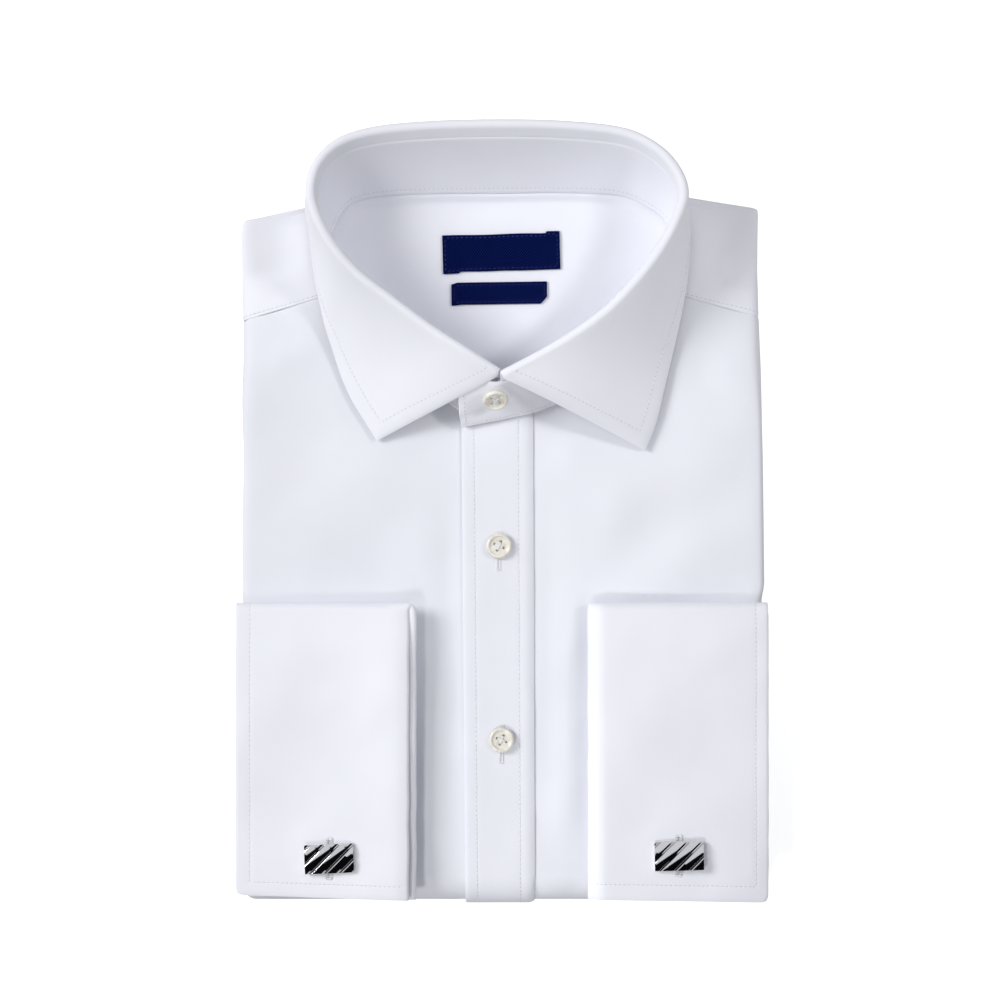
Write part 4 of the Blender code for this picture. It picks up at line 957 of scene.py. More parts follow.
TOPSTITCH = 6.4
LEAF_D = [0.0, 0.45, 1.4, 2.6, 3.8, 4.8, 5.4, 5.8, 6.05, 6.4, 6.75, 7.0, 7.4, 8.0, 9.0, 10.2, 12.0]
LEAF_IN = [0.0, 0.1, 1.6, 3.1, FOLD_LEG] + [FOLD_LEG + FOLD_R * math.pi * k / 10 for k in range(1, 11)]


def leaf_row(t, want=None):
    pts, run = leaf_line(t)
    total = run[-1]
    tail = LEAF_IN[-1]
    body = [mix(tail, total - LEAF_D[-1], k / 18) for k in range(1, 18)]
    places = LEAF_IN + body + [total - d for d in reversed(LEAF_D)]
    return [leaf_at(pts, run, p) for p in places]


def collar_leaf():
    ts = spread(0.0, 24.0, 0.13, marks=(), rim=0.035)
    extra = [0.16 + 0.05 * k for k in range(13)]
    ts = sorted(set(ts) | set(extra) | {24 - e for e in extra})
    grid = np.array([leaf_row(t) for t in ts])
    n_in, n_all = len(LEAF_IN), grid.shape[1]
    thick = np.full(grid.shape[:2], LEAF_T)
    depth_of = LEAF_D[::-1]
    for i in range(len(ts)):
        for j in range(n_in - 6, n_all):
            d = depth_of[j - (n_all - len(LEAF_D))] if j >= n_all - len(LEAF_D) else 99.0
            d = min(d, np.linalg.norm(grid[i, j] - grid[0, j]), np.linalg.norm(grid[i, j] - grid[-1, j]))
            thick[i, j] -= 0.55 * (1 - smooth(d / 4.0))
    for j in range(n_all - len(LEAF_D), n_all):
        d = depth_of[j - (n_all - len(LEAF_D))]
        for i in range(len(ts)):
            front = min(np.linalg.norm(grid[i, j] - grid[0, j]), np.linalg.norm(grid[i, j] - grid[-1, j]))
            if front > TOPSTITCH - 0.6:
                thick[i, j] -= 2 * groove(d - TOPSTITCH, 0.5, 0.05)
    for j in range(n_in, n_all):
        d = depth_of[j - (n_all - len(LEAF_D))] if j >= n_all - len(LEAF_D) else 99.0
        for i in range(len(ts)):
            if d < TOPSTITCH - 0.6:
                continue
            for end in (0, -1):
                gap = np.linalg.norm(grid[i, j] - grid[end, j])
                if gap < TOPSTITCH + 2:
                    thick[i, j] = min(thick[i, j], LEAF_T - 2 * groove(gap - TOPSTITCH, 0.5, 0.05))
    outer, inner = thicken(grid, thick)
    obj = wall("shirt_collar_leaf", outer, inner, COTTON_TRIM)

    # which of the two faces looks outward
    mid_i, mid_j = len(ts) // 2, n_all - 8
    away = grid[mid_i, mid_j] - np.array([*RING_CENTRE, grid[mid_i, mid_j][2]])
    face = outer if np.dot(outer[mid_i, mid_j] - grid[mid_i, mid_j], away) > 0 else inner
    nrm = face - grid
    nrm /= np.maximum(np.linalg.norm(nrm, axis=2, keepdims=True), 1e-9)
    col = n_all - 1 - LEAF_D.index(TOPSTITCH)
    keep = [i for i in range(len(ts)) if min(np.linalg.norm(grid[i, col] - grid[0, col]), np.linalg.norm(grid[i, col] - grid[-1, col])) > TOPSTITCH - 0.2]
    stitches("shirt_collar_leaf", face[keep, col], nrm[keep, col], length=1.4, gap=0.6)
    for end in (0, -1):
        line, normal = [], []
        for j in range(n_in - 4, col + 1):
            gaps = np.array([np.linalg.norm(grid[i, j] - grid[end, j]) for i in range(len(ts))])
            half = len(ts) // 6
            idx = range(half) if end == 0 else range(len(ts) - 1, len(ts) - 1 - half, -1)
            near = sorted(idx, key=lambda i: abs(gaps[i] - TOPSTITCH))[:2]
            a, b = near
            f = 0.0 if abs(gaps[b] - gaps[a]) < 1e-6 else (TOPSTITCH - gaps[a]) / (gaps[b] - gaps[a])
            f = min(1.0, max(0.0, f))
            line.append(mix(face[a, j], face[b, j], f)); normal.append(nrm[a, j])
        stitches("shirt_collar_leaf", line, normal, length=1.4, gap=0.6)
    return obj


def stand_rows():
    rows = [np.concatenate([STAND_UNDER[0], STAND_UNDER[1]])]
    for k in range(25):
        seam, fold, edge, up, out = collar_frame(float(k))
        rim = fold - FOLD_R * out - (FOLD_R + FOLD_LEG + GAP + 0.1) * up
        rows.append(np.concatenate([seam, rim]))
    rows += [np.concatenate([a, b]) for a, b in STAND_OVER]
    return rows


STAND_ROWS = stand_rows()


def stand_mid(t, v):
    """t runs 0..28 round the stand, v from the neck seam to the rim."""
    row = spline(STAND_ROWS, t)
    seam, rim = row[:3], row[3:]
    centre = np.array([*RING_CENTRE, seam[2]])
    away = unit(np.array([seam[0] - centre[0], seam[1] - centre[1], 0.0]))
    bow = 1.1 * math.sin(math.pi * v)
    over = smooth((t - 24.2) / 1.0)
    near_button = 0.22 * over * math.sin(v * 15.0 + 1.2 * soft_noise(t * 5.0, v * 6.0, 4.0, 31)) * math.sin(math.pi * v)
    return seam + (rim - seam) * v + away * (bow + near_button)


def collar_stand():
    ts = spread(0.0, 28.0, 0.14, marks=(), rim=0.05)
    vs = sorted({k / 16 for k in range(17)} | {0.02, 0.98, 0.075, 0.09, 0.105, 0.14})
    grid = np.array([[stand_mid(t, v) for v in vs] for t in ts])
    thick = np.full(grid.shape[:2], STAND_T)
    for j, v in enumerate(vs):
        thick[:, j] -= 2 * groove((v - 0.09) * 24.0, 0.5, 0.08)
    outer, inner = thicken(grid, thick)
    obj = wall("shirt_collar_stand", outer, inner, COTTON_STAND_LIT)
    j = vs.index(0.09)
    for face in (outer, inner):
        n = face - grid
        n /= np.maximum(np.linalg.norm(n, axis=2, keepdims=True), 1e-9)
        stitches("shirt_collar_stand", face[:, j], n[:, j], length=1.4, gap=0.6)
    # the stand's front end, stitched a little inside its edge
    out_face = outer if outer[-4, 8][1] < inner[-4, 8][1] else inner
    n = out_face - grid
    n /= np.maximum(np.linalg.norm(n, axis=2, keepdims=True), 1e-9)
    i = int(np.argmin([abs(t - 27.4) for t in ts]))
    stitches("shirt_collar_stand", out_face[i, 2:-2], n[i, 2:-2], length=1.4, gap=0.6)
    return obj


COLLAR_LEAF = collar_leaf()
COLLAR_STAND = collar_stand()


# -------------------------------------------------------------- cuffs and sleeves
def cuff_floor(x, y):
    return 22.6 + CUFF_LIFT * smooth((-y - 90) / 42) * (1 - smooth((abs(abs(x) - 74) - 8) / 22))


def cuff_top(x):
    return mix(CUFF_TOP[0], CUFF_TOP[1], min(1.0, max(0.0, (abs(x) - 40) / 74)))


# Soft folds of the cuffs' upper layer: start x, y, end x, y, width, height.
CUFF_FOLDS = {
    "shirt_cuff_right": [(-108.0, -150.0, -42.0, -56.0, 17.0, -0.85), (-72.0, -176.0, -30.0, -136.0, 13.0, 0.5), (-114.0, -104.0, -84.0, -46.0, 13.0, 0.55),
                         (-104.0, -78.0, -46.0, -60.0, 9.0, -0.3), (-60.0, -96.0, -42.0, -60.0, 8.0, 0.3)],
    "shirt_cuff_left": [(40.0, -144.0, 114.0, -79.0, 16.0, -0.9), (86.0, -172.0, 118.0, -140.0, 12.0, 0.5), (44.0, -112.0, 78.0, -62.0, 11.0, 0.4),
                        (40.0, -66.0, 64.0, -40.0, 7.0, 0.4), (84.0, -66.0, 112.0, -42.0, 8.0, 0.45)],
}
CUFF_LANES = {"shirt_cuff_right": (6.2, 5.9), "shirt_cuff_left": (5.4, 6.8)}     # stitches, from the free edge and from the bottom
CORNER_R = 3.0
# How far the bottom edge stands up or down from straight, at the hand end and at the free end.
CUFF_FALL = {"shirt_cuff_right": 0.8, "shirt_cuff_left": 3.6}
CUFF_RAISE = {"shirt_cuff_right": 7.2, "shirt_cuff_left": 2.0}
CUFF_SLANT = {"shirt_cuff_right": (-1.5, 0.7), "shirt_cuff_left": (0.5, -1.0)}


def cuff(name, side, hand, under, free, top, bottom, link):
    hole_x, hole_y = link[0], (link[1] + HOLE[1] / 2, link[1] - HOLE[1] / 2)
    lane_free, lane_low = CUFF_LANES[name]
    ys = spread(-41.7, bottom, 2.0, marks=(bottom + lane_low,))
    ys = sorted(set(ys) | set(hole_y) | {hole_y[0] + 0.6, hole_y[1] - 0.6}, reverse=True)
    bow = 10
    stops = [("low", y) for y in reversed(ys)] + [("turn", math.pi * k / bow) for k in range(1, bow)] + [("high", y) for y in ys]
    d_out = [0.0, 0.45, 1.6, 3.0, lane_free - 0.8, lane_free - 0.35, lane_free, lane_free + 0.35, lane_free + 0.8, lane_free + 2.6]
    xs = spread(94.0, 42.2 + 0.0, 2.1, rim=0)
    holes = (hole_x + HOLE[0] / 2, hole_x - HOLE[0] / 2)
    xs = sorted({x for x in xs if abs(x - hole_x) > HOLE[0] / 2 + 0.4} | set(holes) | {hole_x + HOLE[0] / 2 + 0.7, hole_x - HOLE[0] / 2 - 0.7}, reverse=True)

    def relief(x, y):
        value = 1.5 * fold_relief(side * x, y, CUFF_FOLDS[name]) + 0.2 * soft_noise(side * x, y, 12.0, 41) + 0.4 * soft_noise(side * x, y, 28.0, 42)
        near = math.hypot((x - hole_x) / 1.25, y - link[1])
        value *= smooth((near - 10.0) / 9.0)
        pucker = 0.12 * math.cos((y - link[1]) * 1.2) * bell(abs(x - hole_x) - 12.5, 5.0) * bell(y - link[1], 9.0)
        edge = smooth(min(free - x, y - bottom) / 5.0)
        return (value + pucker) * mix(0.45, 1.0, edge)

    def hand_wave(y):
        return 0.30 * soft_noise(y, side * 12.0, 15.0, 43) + 0.15 * soft_noise(y, side * 12.0, 6.0, 44)

    def slant(x, y):
        return mix(*CUFF_SLANT[name], min(1.0, max(0.0, (x - 40) / 74))) * smooth((-y - 70) / 95)

    def point(stop, depth, x, outer_layer, fold_x):
        kind, v = stop
        centre_y = -41.7
        reach_y = top - centre_y
        fall = CUFF_FALL[name] * (1 - smooth((x - fold_x) / 6.5)) ** 1.5
        raised = CUFF_RAISE[name] * smooth((50.0 - x) / 11.0) * (0.86 + 0.14 * smooth((v + 150) / 60) if kind == "low" else 1.0)
        if kind == "low":
            return side * x, v, cuff_floor(x, v) + depth + raised
        if kind == "high":
            z = cuff_top(x) - depth - 0.3 * smooth((v + 60) / 22) + relief(x, v) * smooth((centre_y - v) / 9.0) * (1.0 if outer_layer else 0.8) - fall - 1.6 * (1 - smooth((centre_y - v) / 22.0))
            return side * x, v, z
        low, high = cuff_floor(x, centre_y) + depth + raised, cuff_top(x) - depth - 0.3 * smooth((centre_y + 60) / 22) - fall - 1.6
        half = (high - low) / 2
        reach = reach_y - depth
        return side * x, centre_y + reach * math.sin(v), (low + high) / 2 - half * math.cos(v)

    middle, marks = [], []
    for k, stop in enumerate(stops):
        upper = 0.0 if stop[0] == "low" else (1.0 if stop[0] == "high" else stop[1] / math.pi)
        y_here = stop[1] if stop[0] != "turn" else -41.7
        fold = mix(under, hand, smooth(upper)) + hand_wave(y_here) * smooth((y_here - bottom) / 8.0)
        loose = free - 5.4 * (1 - smooth(upper / 0.42)) + 0.10 * soft_noise(y_here, side * 30.0, 14.0, 45)
        near = fold + CUFF_LAYER / 2 + 0.4
        across = [(loose - d, 0.0) for d in d_out] + [(x, 0.0) for x in xs if x > 44.0]
        bridge = across[-1][0]
        across += [(mix(bridge, near, f), 0.0) for f in (0.34, 0.67, 1.0)]
        across += [(fold + CUFF_LAYER / 2 + 0.4 - CUFF_LAYER / 2 * math.sin(a) * 1.4, (1 - math.cos(a)) / 2) for a in (math.pi * q / 8 for q in range(1, 8))]
        across += [(mix(near, bridge, f), 1.0) for f in (0.0, 0.33, 0.66)] + [(x, 1.0) for x in reversed(xs) if x > 44.0]
        last = min(loose, free - 2.2)
        across += [(mix(94.0, last, f), 1.0) for f in (0.33, 0.66, 0.97, 1.0)]
        line = []
        for n_col, (x, layer) in enumerate(across):
            p = point(stop, CUFF_T / 2 + CUFF_LAYER * layer, x, layer < 0.5, fold)
            if stop[0] != "turn":
                cx, cy = (loose if layer < 0.5 else min(loose, free - 2.2)) - CORNER_R, bottom + CORNER_R
                dx, dy = abs(p[0]) - cx, cy - p[1]
                if dx > 0 and dy > 0:
                    f = max(dx, dy) / math.hypot(dx, dy)
                    p = (side * (cx + dx * f), cy - dy * f, p[2])
            line.append((p[0], p[1] + slant(abs(p[0]), p[1]), p[2]))
        middle.append(line)
        marks.append(len(across))
    grid = np.array(middle)
    flat = len(d_out) + len([x for x in xs if x > 44.0])
    thick = np.full(grid.shape[:2], CUFF_T)
    lane_col = d_out.index(lane_free)
    for i, stop in enumerate(stops):
        for j in range(flat + 3):
            cut_in = groove(d_out[j] - lane_free) if j < len(d_out) else 0.0
            if stop[0] != "turn" and (j >= len(d_out) or d_out[j] > lane_free - 0.5):
                cut_in = max(cut_in, groove(stop[1] - bottom - lane_low))
            if stop[0] != "turn" and stop[1] < bottom + lane_low - 0.5:
                cut_in = 0.0
            thick[i, j] -= 2 * cut_in
    outer, inner = thicken(grid, thick)
    hole_rows = {k for k in range(len(stops) - 1) if stops[k][0] == stops[k + 1][0] != "turn"
                 and min(stops[k][1], stops[k + 1][1]) >= hole_y[1] - 1e-6 and max(stops[k][1], stops[k + 1][1]) <= hole_y[0] + 1e-6}
    columns = middle[-1]
    hole_cols = {j for j in range(len(columns) - 1) if abs((abs(columns[j][0]) + abs(columns[j + 1][0])) / 2 - hole_x) < 0.3
                 and abs(abs(abs(columns[j][0]) - abs(columns[j + 1][0])) - HOLE[0]) < 0.3}
    obj = wall(name, outer, inner, COTTON_CUFF_LIT, keep=lambda i, j: not (i in hole_rows and j in hole_cols))

    i_high = len(stops) - 10
    face = outer if outer[i_high, 20][2] > inner[i_high, 20][2] else inner
    n = face - grid
    n /= np.maximum(np.linalg.norm(n, axis=2, keepdims=True), 1e-9)
    rows = [i for i, s in enumerate(stops) if (s[0] == "high" and s[1] > bottom + lane_low - 0.2) or (s[0] == "turn")]
    stitches(name, face[rows, lane_col], n[rows, lane_col])
    row = min((i for i, s in enumerate(stops) if s[0] == "high"), key=lambda i: abs(stops[i][1] - (bottom + lane_low)))
    stitches(name, face[row, lane_col:flat + 2], n[row, lane_col:flat + 2])
    obj["hole_z"] = 0.0
    return obj


CUFF_OBJECTS = {}
for key, spec in CUFFS.items():
    CUFF_OBJECTS[key] = cuff("shirt_" + key, **spec)


def sleeve(name, side, top, bottom):
    edge = (EDGE_LEFT if side < 0 else EDGE_RIGHT)
    centre = edge - SIDE_R
    thick, ply = 1.1, 0.9
    path = [(centre + 3.6, MIDDLE - 0.05, 0.25, -1.0)]
    r = SIDE_R + GAP + thick
    for t in (0.80, 0.66, 0.5):
        a = math.pi * t
        path.append((centre + r * math.sin(a), PACKET - SIDE_R + r * math.cos(a), math.sin(a), math.cos(a)))
    path += [(centre + r + 0.25, 20.4, 1.0, 0.05), (centre + r - 0.1, 23.6, 0.95, 0.3),
             (centre + r - 1.8, 26.1, 0.6, 0.8), (centre + r - 4.6, 27.1, 0.1, 1.0), (centre + r - 9.0, 27.15, 0.0, 1.0)]
    half = thick - ply / 2
    ys = [mix(top - half, bottom + half, k / 54) for k in range(55)]
    places = [0.0, 0.5, 1.0]
    steps = sorted({k / 6 for k in range(6, 49)} | {0.0, 0.3, 0.6, 0.8})
    grid = []
    for q in steps:
        if q < 1.0:
            row = np.asarray(path[0]) * (1 - q) + np.asarray(path[1]) * q
        else:
            row = spline(path[1:], q - 1.0)
        x, z, nx, nz = row
        length = math.hypot(nx, nz)
        nx, nz = nx / length, nz / length
        line = []
        for y in ys:
            soft = 0.10 * soft_noise(y, q * 3.0, 9.0, 51) * smooth((q - 1.5) / 1.0) * smooth((7.0 - q) / 1.0)
            line.append((side * (x + nx * (half + soft)), y, z + nz * (half + soft)))
        line.append((side * (x + nx * half * 0.5), bottom + 0.12, z + nz * half * 0.5))
        line.append((side * x, bottom, z))
        line.append((side * (x - nx * half * 0.5), bottom + 0.12, z - nz * half * 0.5))
        for y in reversed(ys):
            line.append((side * (x - nx * half), y, z - nz * half))
        line.append((side * (x - nx * half * 0.5), top - 0.12, z - nz * half * 0.5))
        line.append((side * x, top, z))
        line.append((side * (x + nx * half * 0.5), top - 0.12, z + nz * half * 0.5))
        grid.append(line)
    outer, inner = thicken(grid, ply, closed=True)
    return wall(name, outer, inner, COTTON, closed=True)


SLEEVE_RIGHT = sleeve("shirt_sleeve_right", -1, -42.6, -153.0)
SLEEVE_LEFT = sleeve("shirt_sleeve_left", 1, -42.4, -153.0)


# --------------------------------------------------------------------- trimmings
def place(verts, centre, tilt=0.0, turn=0.0):
    ct, st = math.cos(math.radians(tilt)), math.sin(math.radians(tilt))
    cz, sz = math.cos(math.radians(turn)), math.sin(math.radians(turn))
    out = []
    for x, y, z in verts:
        y, z = y * ct - z * st, y * st + z * ct
        x, y = x * cz - y * sz, x * sz + y * cz
        out.append((x + centre[0], y + centre[1], z + centre[2]))
    return out


def lathe(profile, n):
    verts, faces = [(0.0, 0.0, profile[0][1])], []
    for r, z in profile[1:-1]:
        verts += [(r * math.cos(2 * math.pi * k / n), r * math.sin(2 * math.pi * k / n), z) for k in range(n)]
    verts.append((0.0, 0.0, profile[-1][1]))
    rows = len(profile) - 2
    for k in range(n):
        m = (k + 1) % n
        faces.append([0, 1 + m, 1 + k])
        for i in range(rows - 1):
            a, b = 1 + i * n, 1 + (i + 1) * n
            faces.append([a + k, a + m, b + m, b + k])
        last = 1 + (rows - 1) * n
        faces.append([last + k, last + m, len(verts) - 1])
    return verts, faces


def tube(points, radius, sides=8, caps=True):
    """A round tube through points, for thread and satin edges."""
    pts = np.asarray(points, float)
    verts, faces = [], []
    ref = np.array([0.0, 0.0, 1.0])
    for i, p in enumerate(pts):
        t = unit(pts[min(i + 1, len(pts) - 1)] - pts[max(i - 1, 0)])
        a = np.cross(t, ref)
        if np.linalg.norm(a) < 0.05:
            a = np.cross(t, np.array([1.0, 0.0, 0.0]))
        a = unit(a)
        b = np.cross(t, a)
        rad = radius[i] if hasattr(radius, "__len__") else radius
        for k in range(sides):
            w = 2 * math.pi * k / sides
            verts.append(tuple(p + (a * math.cos(w) + b * math.sin(w)) * rad))
    for i in range(len(pts) - 1):
        for k in range(sides):
            m = (k + 1) % sides
            faces.append([i * sides + k, i * sides + m, (i + 1) * sides + m, (i + 1) * sides + k])
    if caps:
        faces.append(list(reversed(range(sides))))
        faces.append([(len(pts) - 1) * sides + k for k in range(sides)])
    return verts, faces


def merge(parts):
    verts, faces = [], []
    for v, f in parts:
        faces += [[i + len(verts) for i in face] for face in f]
        verts += [tuple(p) for p in v]
    return verts, faces


def box_uv(verts):
    return [((v[0]) * MM, (v[1]) * MM) for v in verts]


def fix_normals(obj):
    bm = bmesh.new()
    bm.from_mesh(obj.data)
    bmesh.ops.recalc_face_normals(bm, faces=bm.faces[:])
    bm.to_mesh(obj.data)
    bm.free()
    return obj


def carve(obj, cutter):
    """Takes the cutter out of the object for good."""
    mod = obj.modifiers.new("cut", "BOOLEAN")
    mod.operation, mod.solver, mod.object = "DIFFERENCE", "EXACT", cutter
    depsgraph = bpy.context.evaluated_depsgraph_get()
    depsgraph.update()
    made = bpy.data.meshes.new_from_object(obj.evaluated_get(depsgraph))
    obj.modifiers.clear()
    old = obj.data
    obj.data = made
    bpy.data.meshes.remove(old)
    bpy.data.objects.remove(cutter, do_unlink=True)
    obj.data.polygons.foreach_set("use_smooth", [True] * len(obj.data.polygons))
    obj.data.set_sharp_from_angle(angle=math.radians(38))
    return obj


def button(name, centre, tilt=0.0, turn=0.0):
    """Four-hole shirt button: rounded raised rim, dished middle with a small step, thread through the holes."""
    R, T = BUTTON_D / 2, BUTTON_T
    profile = [(0.0, 0.0), (R - 1.0, 0.0), (R - 0.45, 0.2), (R - 0.12, 0.6), (R, 1.05), (R - 0.02, 1.45), (R - 0.16, 1.8), (R - 0.42, 2.1), (R - 0.75, T),
               (R - 1.05, T), (R - 1.3, 2.2), (R - 1.5, 1.98), (R - 1.7, 1.78), (R - 2.0, 1.66), (R - 2.6, 1.58), (R - 3.6, 1.52), (0.5, 1.5), (0.0, 1.5)]
    v, f = lathe(profile, 72)
    obj = fix_normals(link(name, place(v, centre, tilt, turn), f, PEARL, box_uv(v), 38))
    pins = merge([tube([(dx, dy, -1.0), (dx, dy, 4.0)], 0.56, 20) for dx in (-1.42, 1.42) for dy in (-1.42, 1.42)])
    cutter = fix_normals(link(name + "_pins", place(pins[0], centre, tilt, turn), pins[1], PEARL))
    carve(obj, cutter)
    # thread: a cross of paired strands over the dish, down through the holes
    strands = []
    for sx, sy in ((1, 1), (1, -1)):
        for off in (-0.16, 0.16):
            line = []
            for q in np.linspace(-1, 1, 15):
                h = 1.50 + 0.42 * (1 - q * q) ** 0.5 if abs(q) < 1 else 1.1
                line.append((sx * 1.36 * q - sy * off * 0.7, sy * 1.36 * q + sx * off * 0.7, h))
            line = [(line[0][0], line[0][1], 0.1)] + line + [(line[-1][0], line[-1][1], 0.1)]
            strands.append(tube(line, 0.17, 7))
    tv, tf = merge(strands)
    thread = link(name + "_thread", place(tv, centre, tilt, turn), tf, THREAD, box_uv(tv), 60)
    thread.parent = obj
    return obj, thread


BUTTONS = {}
BUTTON_PLACES = {"button_front_1": (-1.3, -13.2), "button_front_2": (-0.2, -96.7)}
for key, (bx, by) in BUTTON_PLACES.items():
    BUTTONS[key] = button("shirt_" + key, (bx, by, top_height(bx, by) + PLACKET_LIFT + GAP), turn=22.0)
BUTTONS["button_collar"] = button("shirt_button_collar", (-2.9, 49.9, 39.1), tilt=45.0, turn=8.0)


def buttonhole(name, point, length, half=0.95, inner=0.22):
    """Satin-stitched edges of a buttonhole: close thread across both lips, and a bar at each end.
    point(along, across) gives a place on the cloth and its normal; along runs 0..length."""
    parts = []
    pitch = 0.36
    count = int(length / pitch)
    for sign in (-1, 1):
        for k in range(count):
            s = (k + 0.5) * pitch
            line = []
            for q, up in ((inner, -0.10), (mix(inner, 1.0, 0.2), 0.10), (mix(inner, 1.0, 0.6), 0.20), (1.0, 0.10), (1.12, -0.10)):
                p, n = point(s + 0.05 * math.sin(k * 2.3), sign * half * q)
                line.append(np.asarray(p) + np.asarray(n) * up)
            parts.append(tube(line, 0.16, 5))
    for end in (0.0, length):
        for k in range(7):
            off = (k - 3) * 0.3
            line = []
            for q, up in ((-0.45, -0.08), (-0.2, 0.14), (0.2, 0.2), (0.55, -0.06)):
                p, n = point(end + (q if end else -q), off)
                line.append(np.asarray(p) + np.asarray(n) * up)
            parts.append(tube(line, 0.16, 5))
    v, f = merge(parts)
    return link(name, v, f, THREAD, box_uv(v), 60)


def slit(name, point, length, half=0.16):
    """The dark line between a closed buttonhole's lips: painted shade, a dark sliver standing in for the shadow in the
    slit.
    """
    verts, faces = [], []
    n = 24
    for k in range(n + 1):
        s = 0.5 + (length - 1.0) * k / n
        w = half * (0.55 + 0.45 * math.sin(math.pi * k / n)) + 0.03 * math.sin(k * 1.7)
        for across, up in ((-w, 0.02), (w, 0.02), (w, -0.12), (-w, -0.12)):
            p, nn = point(s, across)
            verts.append(tuple(np.asarray(p) + np.asarray(nn) * up))
    for k in range(n):
        a, b = 4 * k, 4 * k + 4
        for m in range(4):
            q = (m + 1) % 4
            faces.append([a + m, a + q, b + q, b + m])
    faces.append([3, 2, 1, 0]); faces.append([4 * n + m for m in range(4)])
    return fix_normals(link(name, verts, faces, SLIT_PAINTED_SHADE, box_uv(verts), 60))


def painted_shade_material():
    n = Nodes("cotton_poplin_shaded")
    geo = n.add("ShaderNodeTexCoord")
    cloud = n.add("ShaderNodeTexNoise", in_Scale=700.0, in_Detail=2.0)
    n.join(geo.outputs["Object"], cloud.inputs["Vector"])
    ramp = n.add("ShaderNodeValToRGB")
    # painted shade: greys that stand in for the shadow inside buttonhole slits and needle holes
    ramp.color_ramp.elements[0].color, ramp.color_ramp.elements[1].color = (0.40, 0.41, 0.45, 1), (0.55, 0.56, 0.61, 1)
    n.join(cloud.outputs["Fac"], ramp.inputs[0])
    n.join(ramp.outputs[0], n.shader.inputs["Base Color"])
    n.set(Roughness=0.95, Specular_IOR_Level=0.1)
    return n.mat


SLIT_PAINTED_SHADE = painted_shade_material()


def placket_surface(x, y):
    share_low, share_high = 0.0, 1.0
    u = (x - placket_x(y, PLACKET_LEFT)) / (placket_x(y, PLACKET_RIGHT) - placket_x(y, PLACKET_LEFT))
    head = at(PLACKET_HEADS, mix(PLACKET_LEFT[0], PLACKET_RIGHT[0], u))
    share = (y - head) / (ROLL_Y - head)
    return np.array(placket_point(u, share, 0, 0.0))


HOLES = []
for key, (bx, by) in BUTTON_PLACES.items():
    lean = 0.012

    def on_placket(along, across, bx=bx, by=by):
        y = by + (5.6 if by > -50 else 6.1) - along
        x = bx + across + (by - y) * -lean
        return placket_surface(x, y), np.array([0.0, 0.0, 1.0])

    HOLES.append(buttonhole("shirt_" + key + "_hole", on_placket, 16.0))
    HOLES.append(slit("shirt_" + key + "_slit", on_placket, 16.0))


for key, (lx, ly, turn) in LINKS.items():
    def on_cuff(along, across, lx=lx, ly=ly):
        y = ly + HOLE[1] / 2 + 0.25 - along
        return np.array([lx + across, y, cuff_top(lx + across) - 0.02]), np.array([0.0, 0.0, 1.0])

    HOLES.append(buttonhole("shirt_" + key + "_hole", on_cuff, HOLE[1] + 0.5, half=1.7, inner=0.06))


# ------------------------------------------------------------------------- labels
def label_edges(name, u, w, h):
    """Lowest and highest v of the label's outline at u: turned ends show as steps, one corner is cut."""
    low, high = -h / 2, h / 2
    if name.endswith("main"):
        high += 0.85 * smooth((u - (w / 2 - 6.0)) / 0.5) - 0.12 * smooth((u - w / 2 + 1.2) / 1.2)
        low -= 0.75 * smooth((-w / 2 + 7.4 - u) / 0.5)
        high += 0.10 * math.sin(u * 0.21)
        low += 0.06 * math.sin(u * 0.33 + 1.0)
    else:
        low += max(0.0, (u - (w / 2 - 2.7)) / 2.7) * 3.0
        low -= 0.35 * smooth((-w / 2 + 5.0 - u) / 4.0)
        high -= 0.75 * smooth((-w / 2 + 3.0 - u) / 3.0)
    return low, high


def label(name, x, y, w, h, turn):
    """A bare woven label on the inside yoke, sewn down all round."""
    c, s = math.cos(math.radians(turn)), math.sin(math.radians(turn))
    us = sorted(set(spread(-w / 2, w / 2, 0.6, rim=0.25)) | {w / 2 - 6.0, w / 2 - 5.5, w / 2 - 2.7, -w / 2 + 7.4, -w / 2 + 6.9})
    vs = spread(0.0, 1.0, 0.04, rim=0.25 / h)

    def spot(u, f, lift):
        low, high = label_edges(name, u, w, h)
        v = mix(low, high, f)
        px, py = x + u * c - v * s, y + u * s + v * c
        swell = 0.10 * soft_noise(px, py, 12.0, 61) - 0.10 * bell(min(f, 1 - f) * h - 1.15, 0.5) - 0.10 * bell(min(u + w / 2, w / 2 - u) - 1.15, 0.5)
        return px, py, neck_surface(px, py) + lift + (swell if lift > 0.5 else 0.0)

    obj = wall(name, [[spot(u, f, 0.45 + 0.72) for u in us] for f in vs], [[spot(u, f, 0.45) for u in us] for f in vs], NAVY)
    m = 1.15
    ring4 = [(-w / 2 + m, m / h), (w / 2 - m, m / h), (w / 2 - m, 1 - m / h), (-w / 2 + m, 1 - m / h), (-w / 2 + m, m / h)]
    for (u0, f0), (u1, f1) in zip(ring4, ring4[1:]):
        pts = [spot(mix(u0, u1, k / 60), mix(f0, f1, k / 60), 0.45 + 0.72) for k in range(61)]
        stitches(name, pts, [(0, 0, 1)] * 61, length=1.15, gap=0.85, radius=0.14, lift=-0.02)
    return obj


LABEL_OBJECTS = {k: label("shirt_" + k, *v) for k, v in LABELS.items()}


# --------------------------------------------------------------------- cufflinks
LINK_W, LINK_H, LINK_T = 21.0, 12.4, 2.4
RIB_ANGLE, RIB_PITCH = 43.5, 4.4
#             place in one pitch, height: a cut groove, a raised bright lip, a long flat, a bevelled step
RIB = [(0.0, 0.0), (0.05, 0.02), (2.55, -0.02), (2.70, -0.05), (3.30, -0.17), (3.42, -0.46), (3.80, -0.48), (3.92, -0.40), (4.20, -0.06), (4.34, 0.0)]


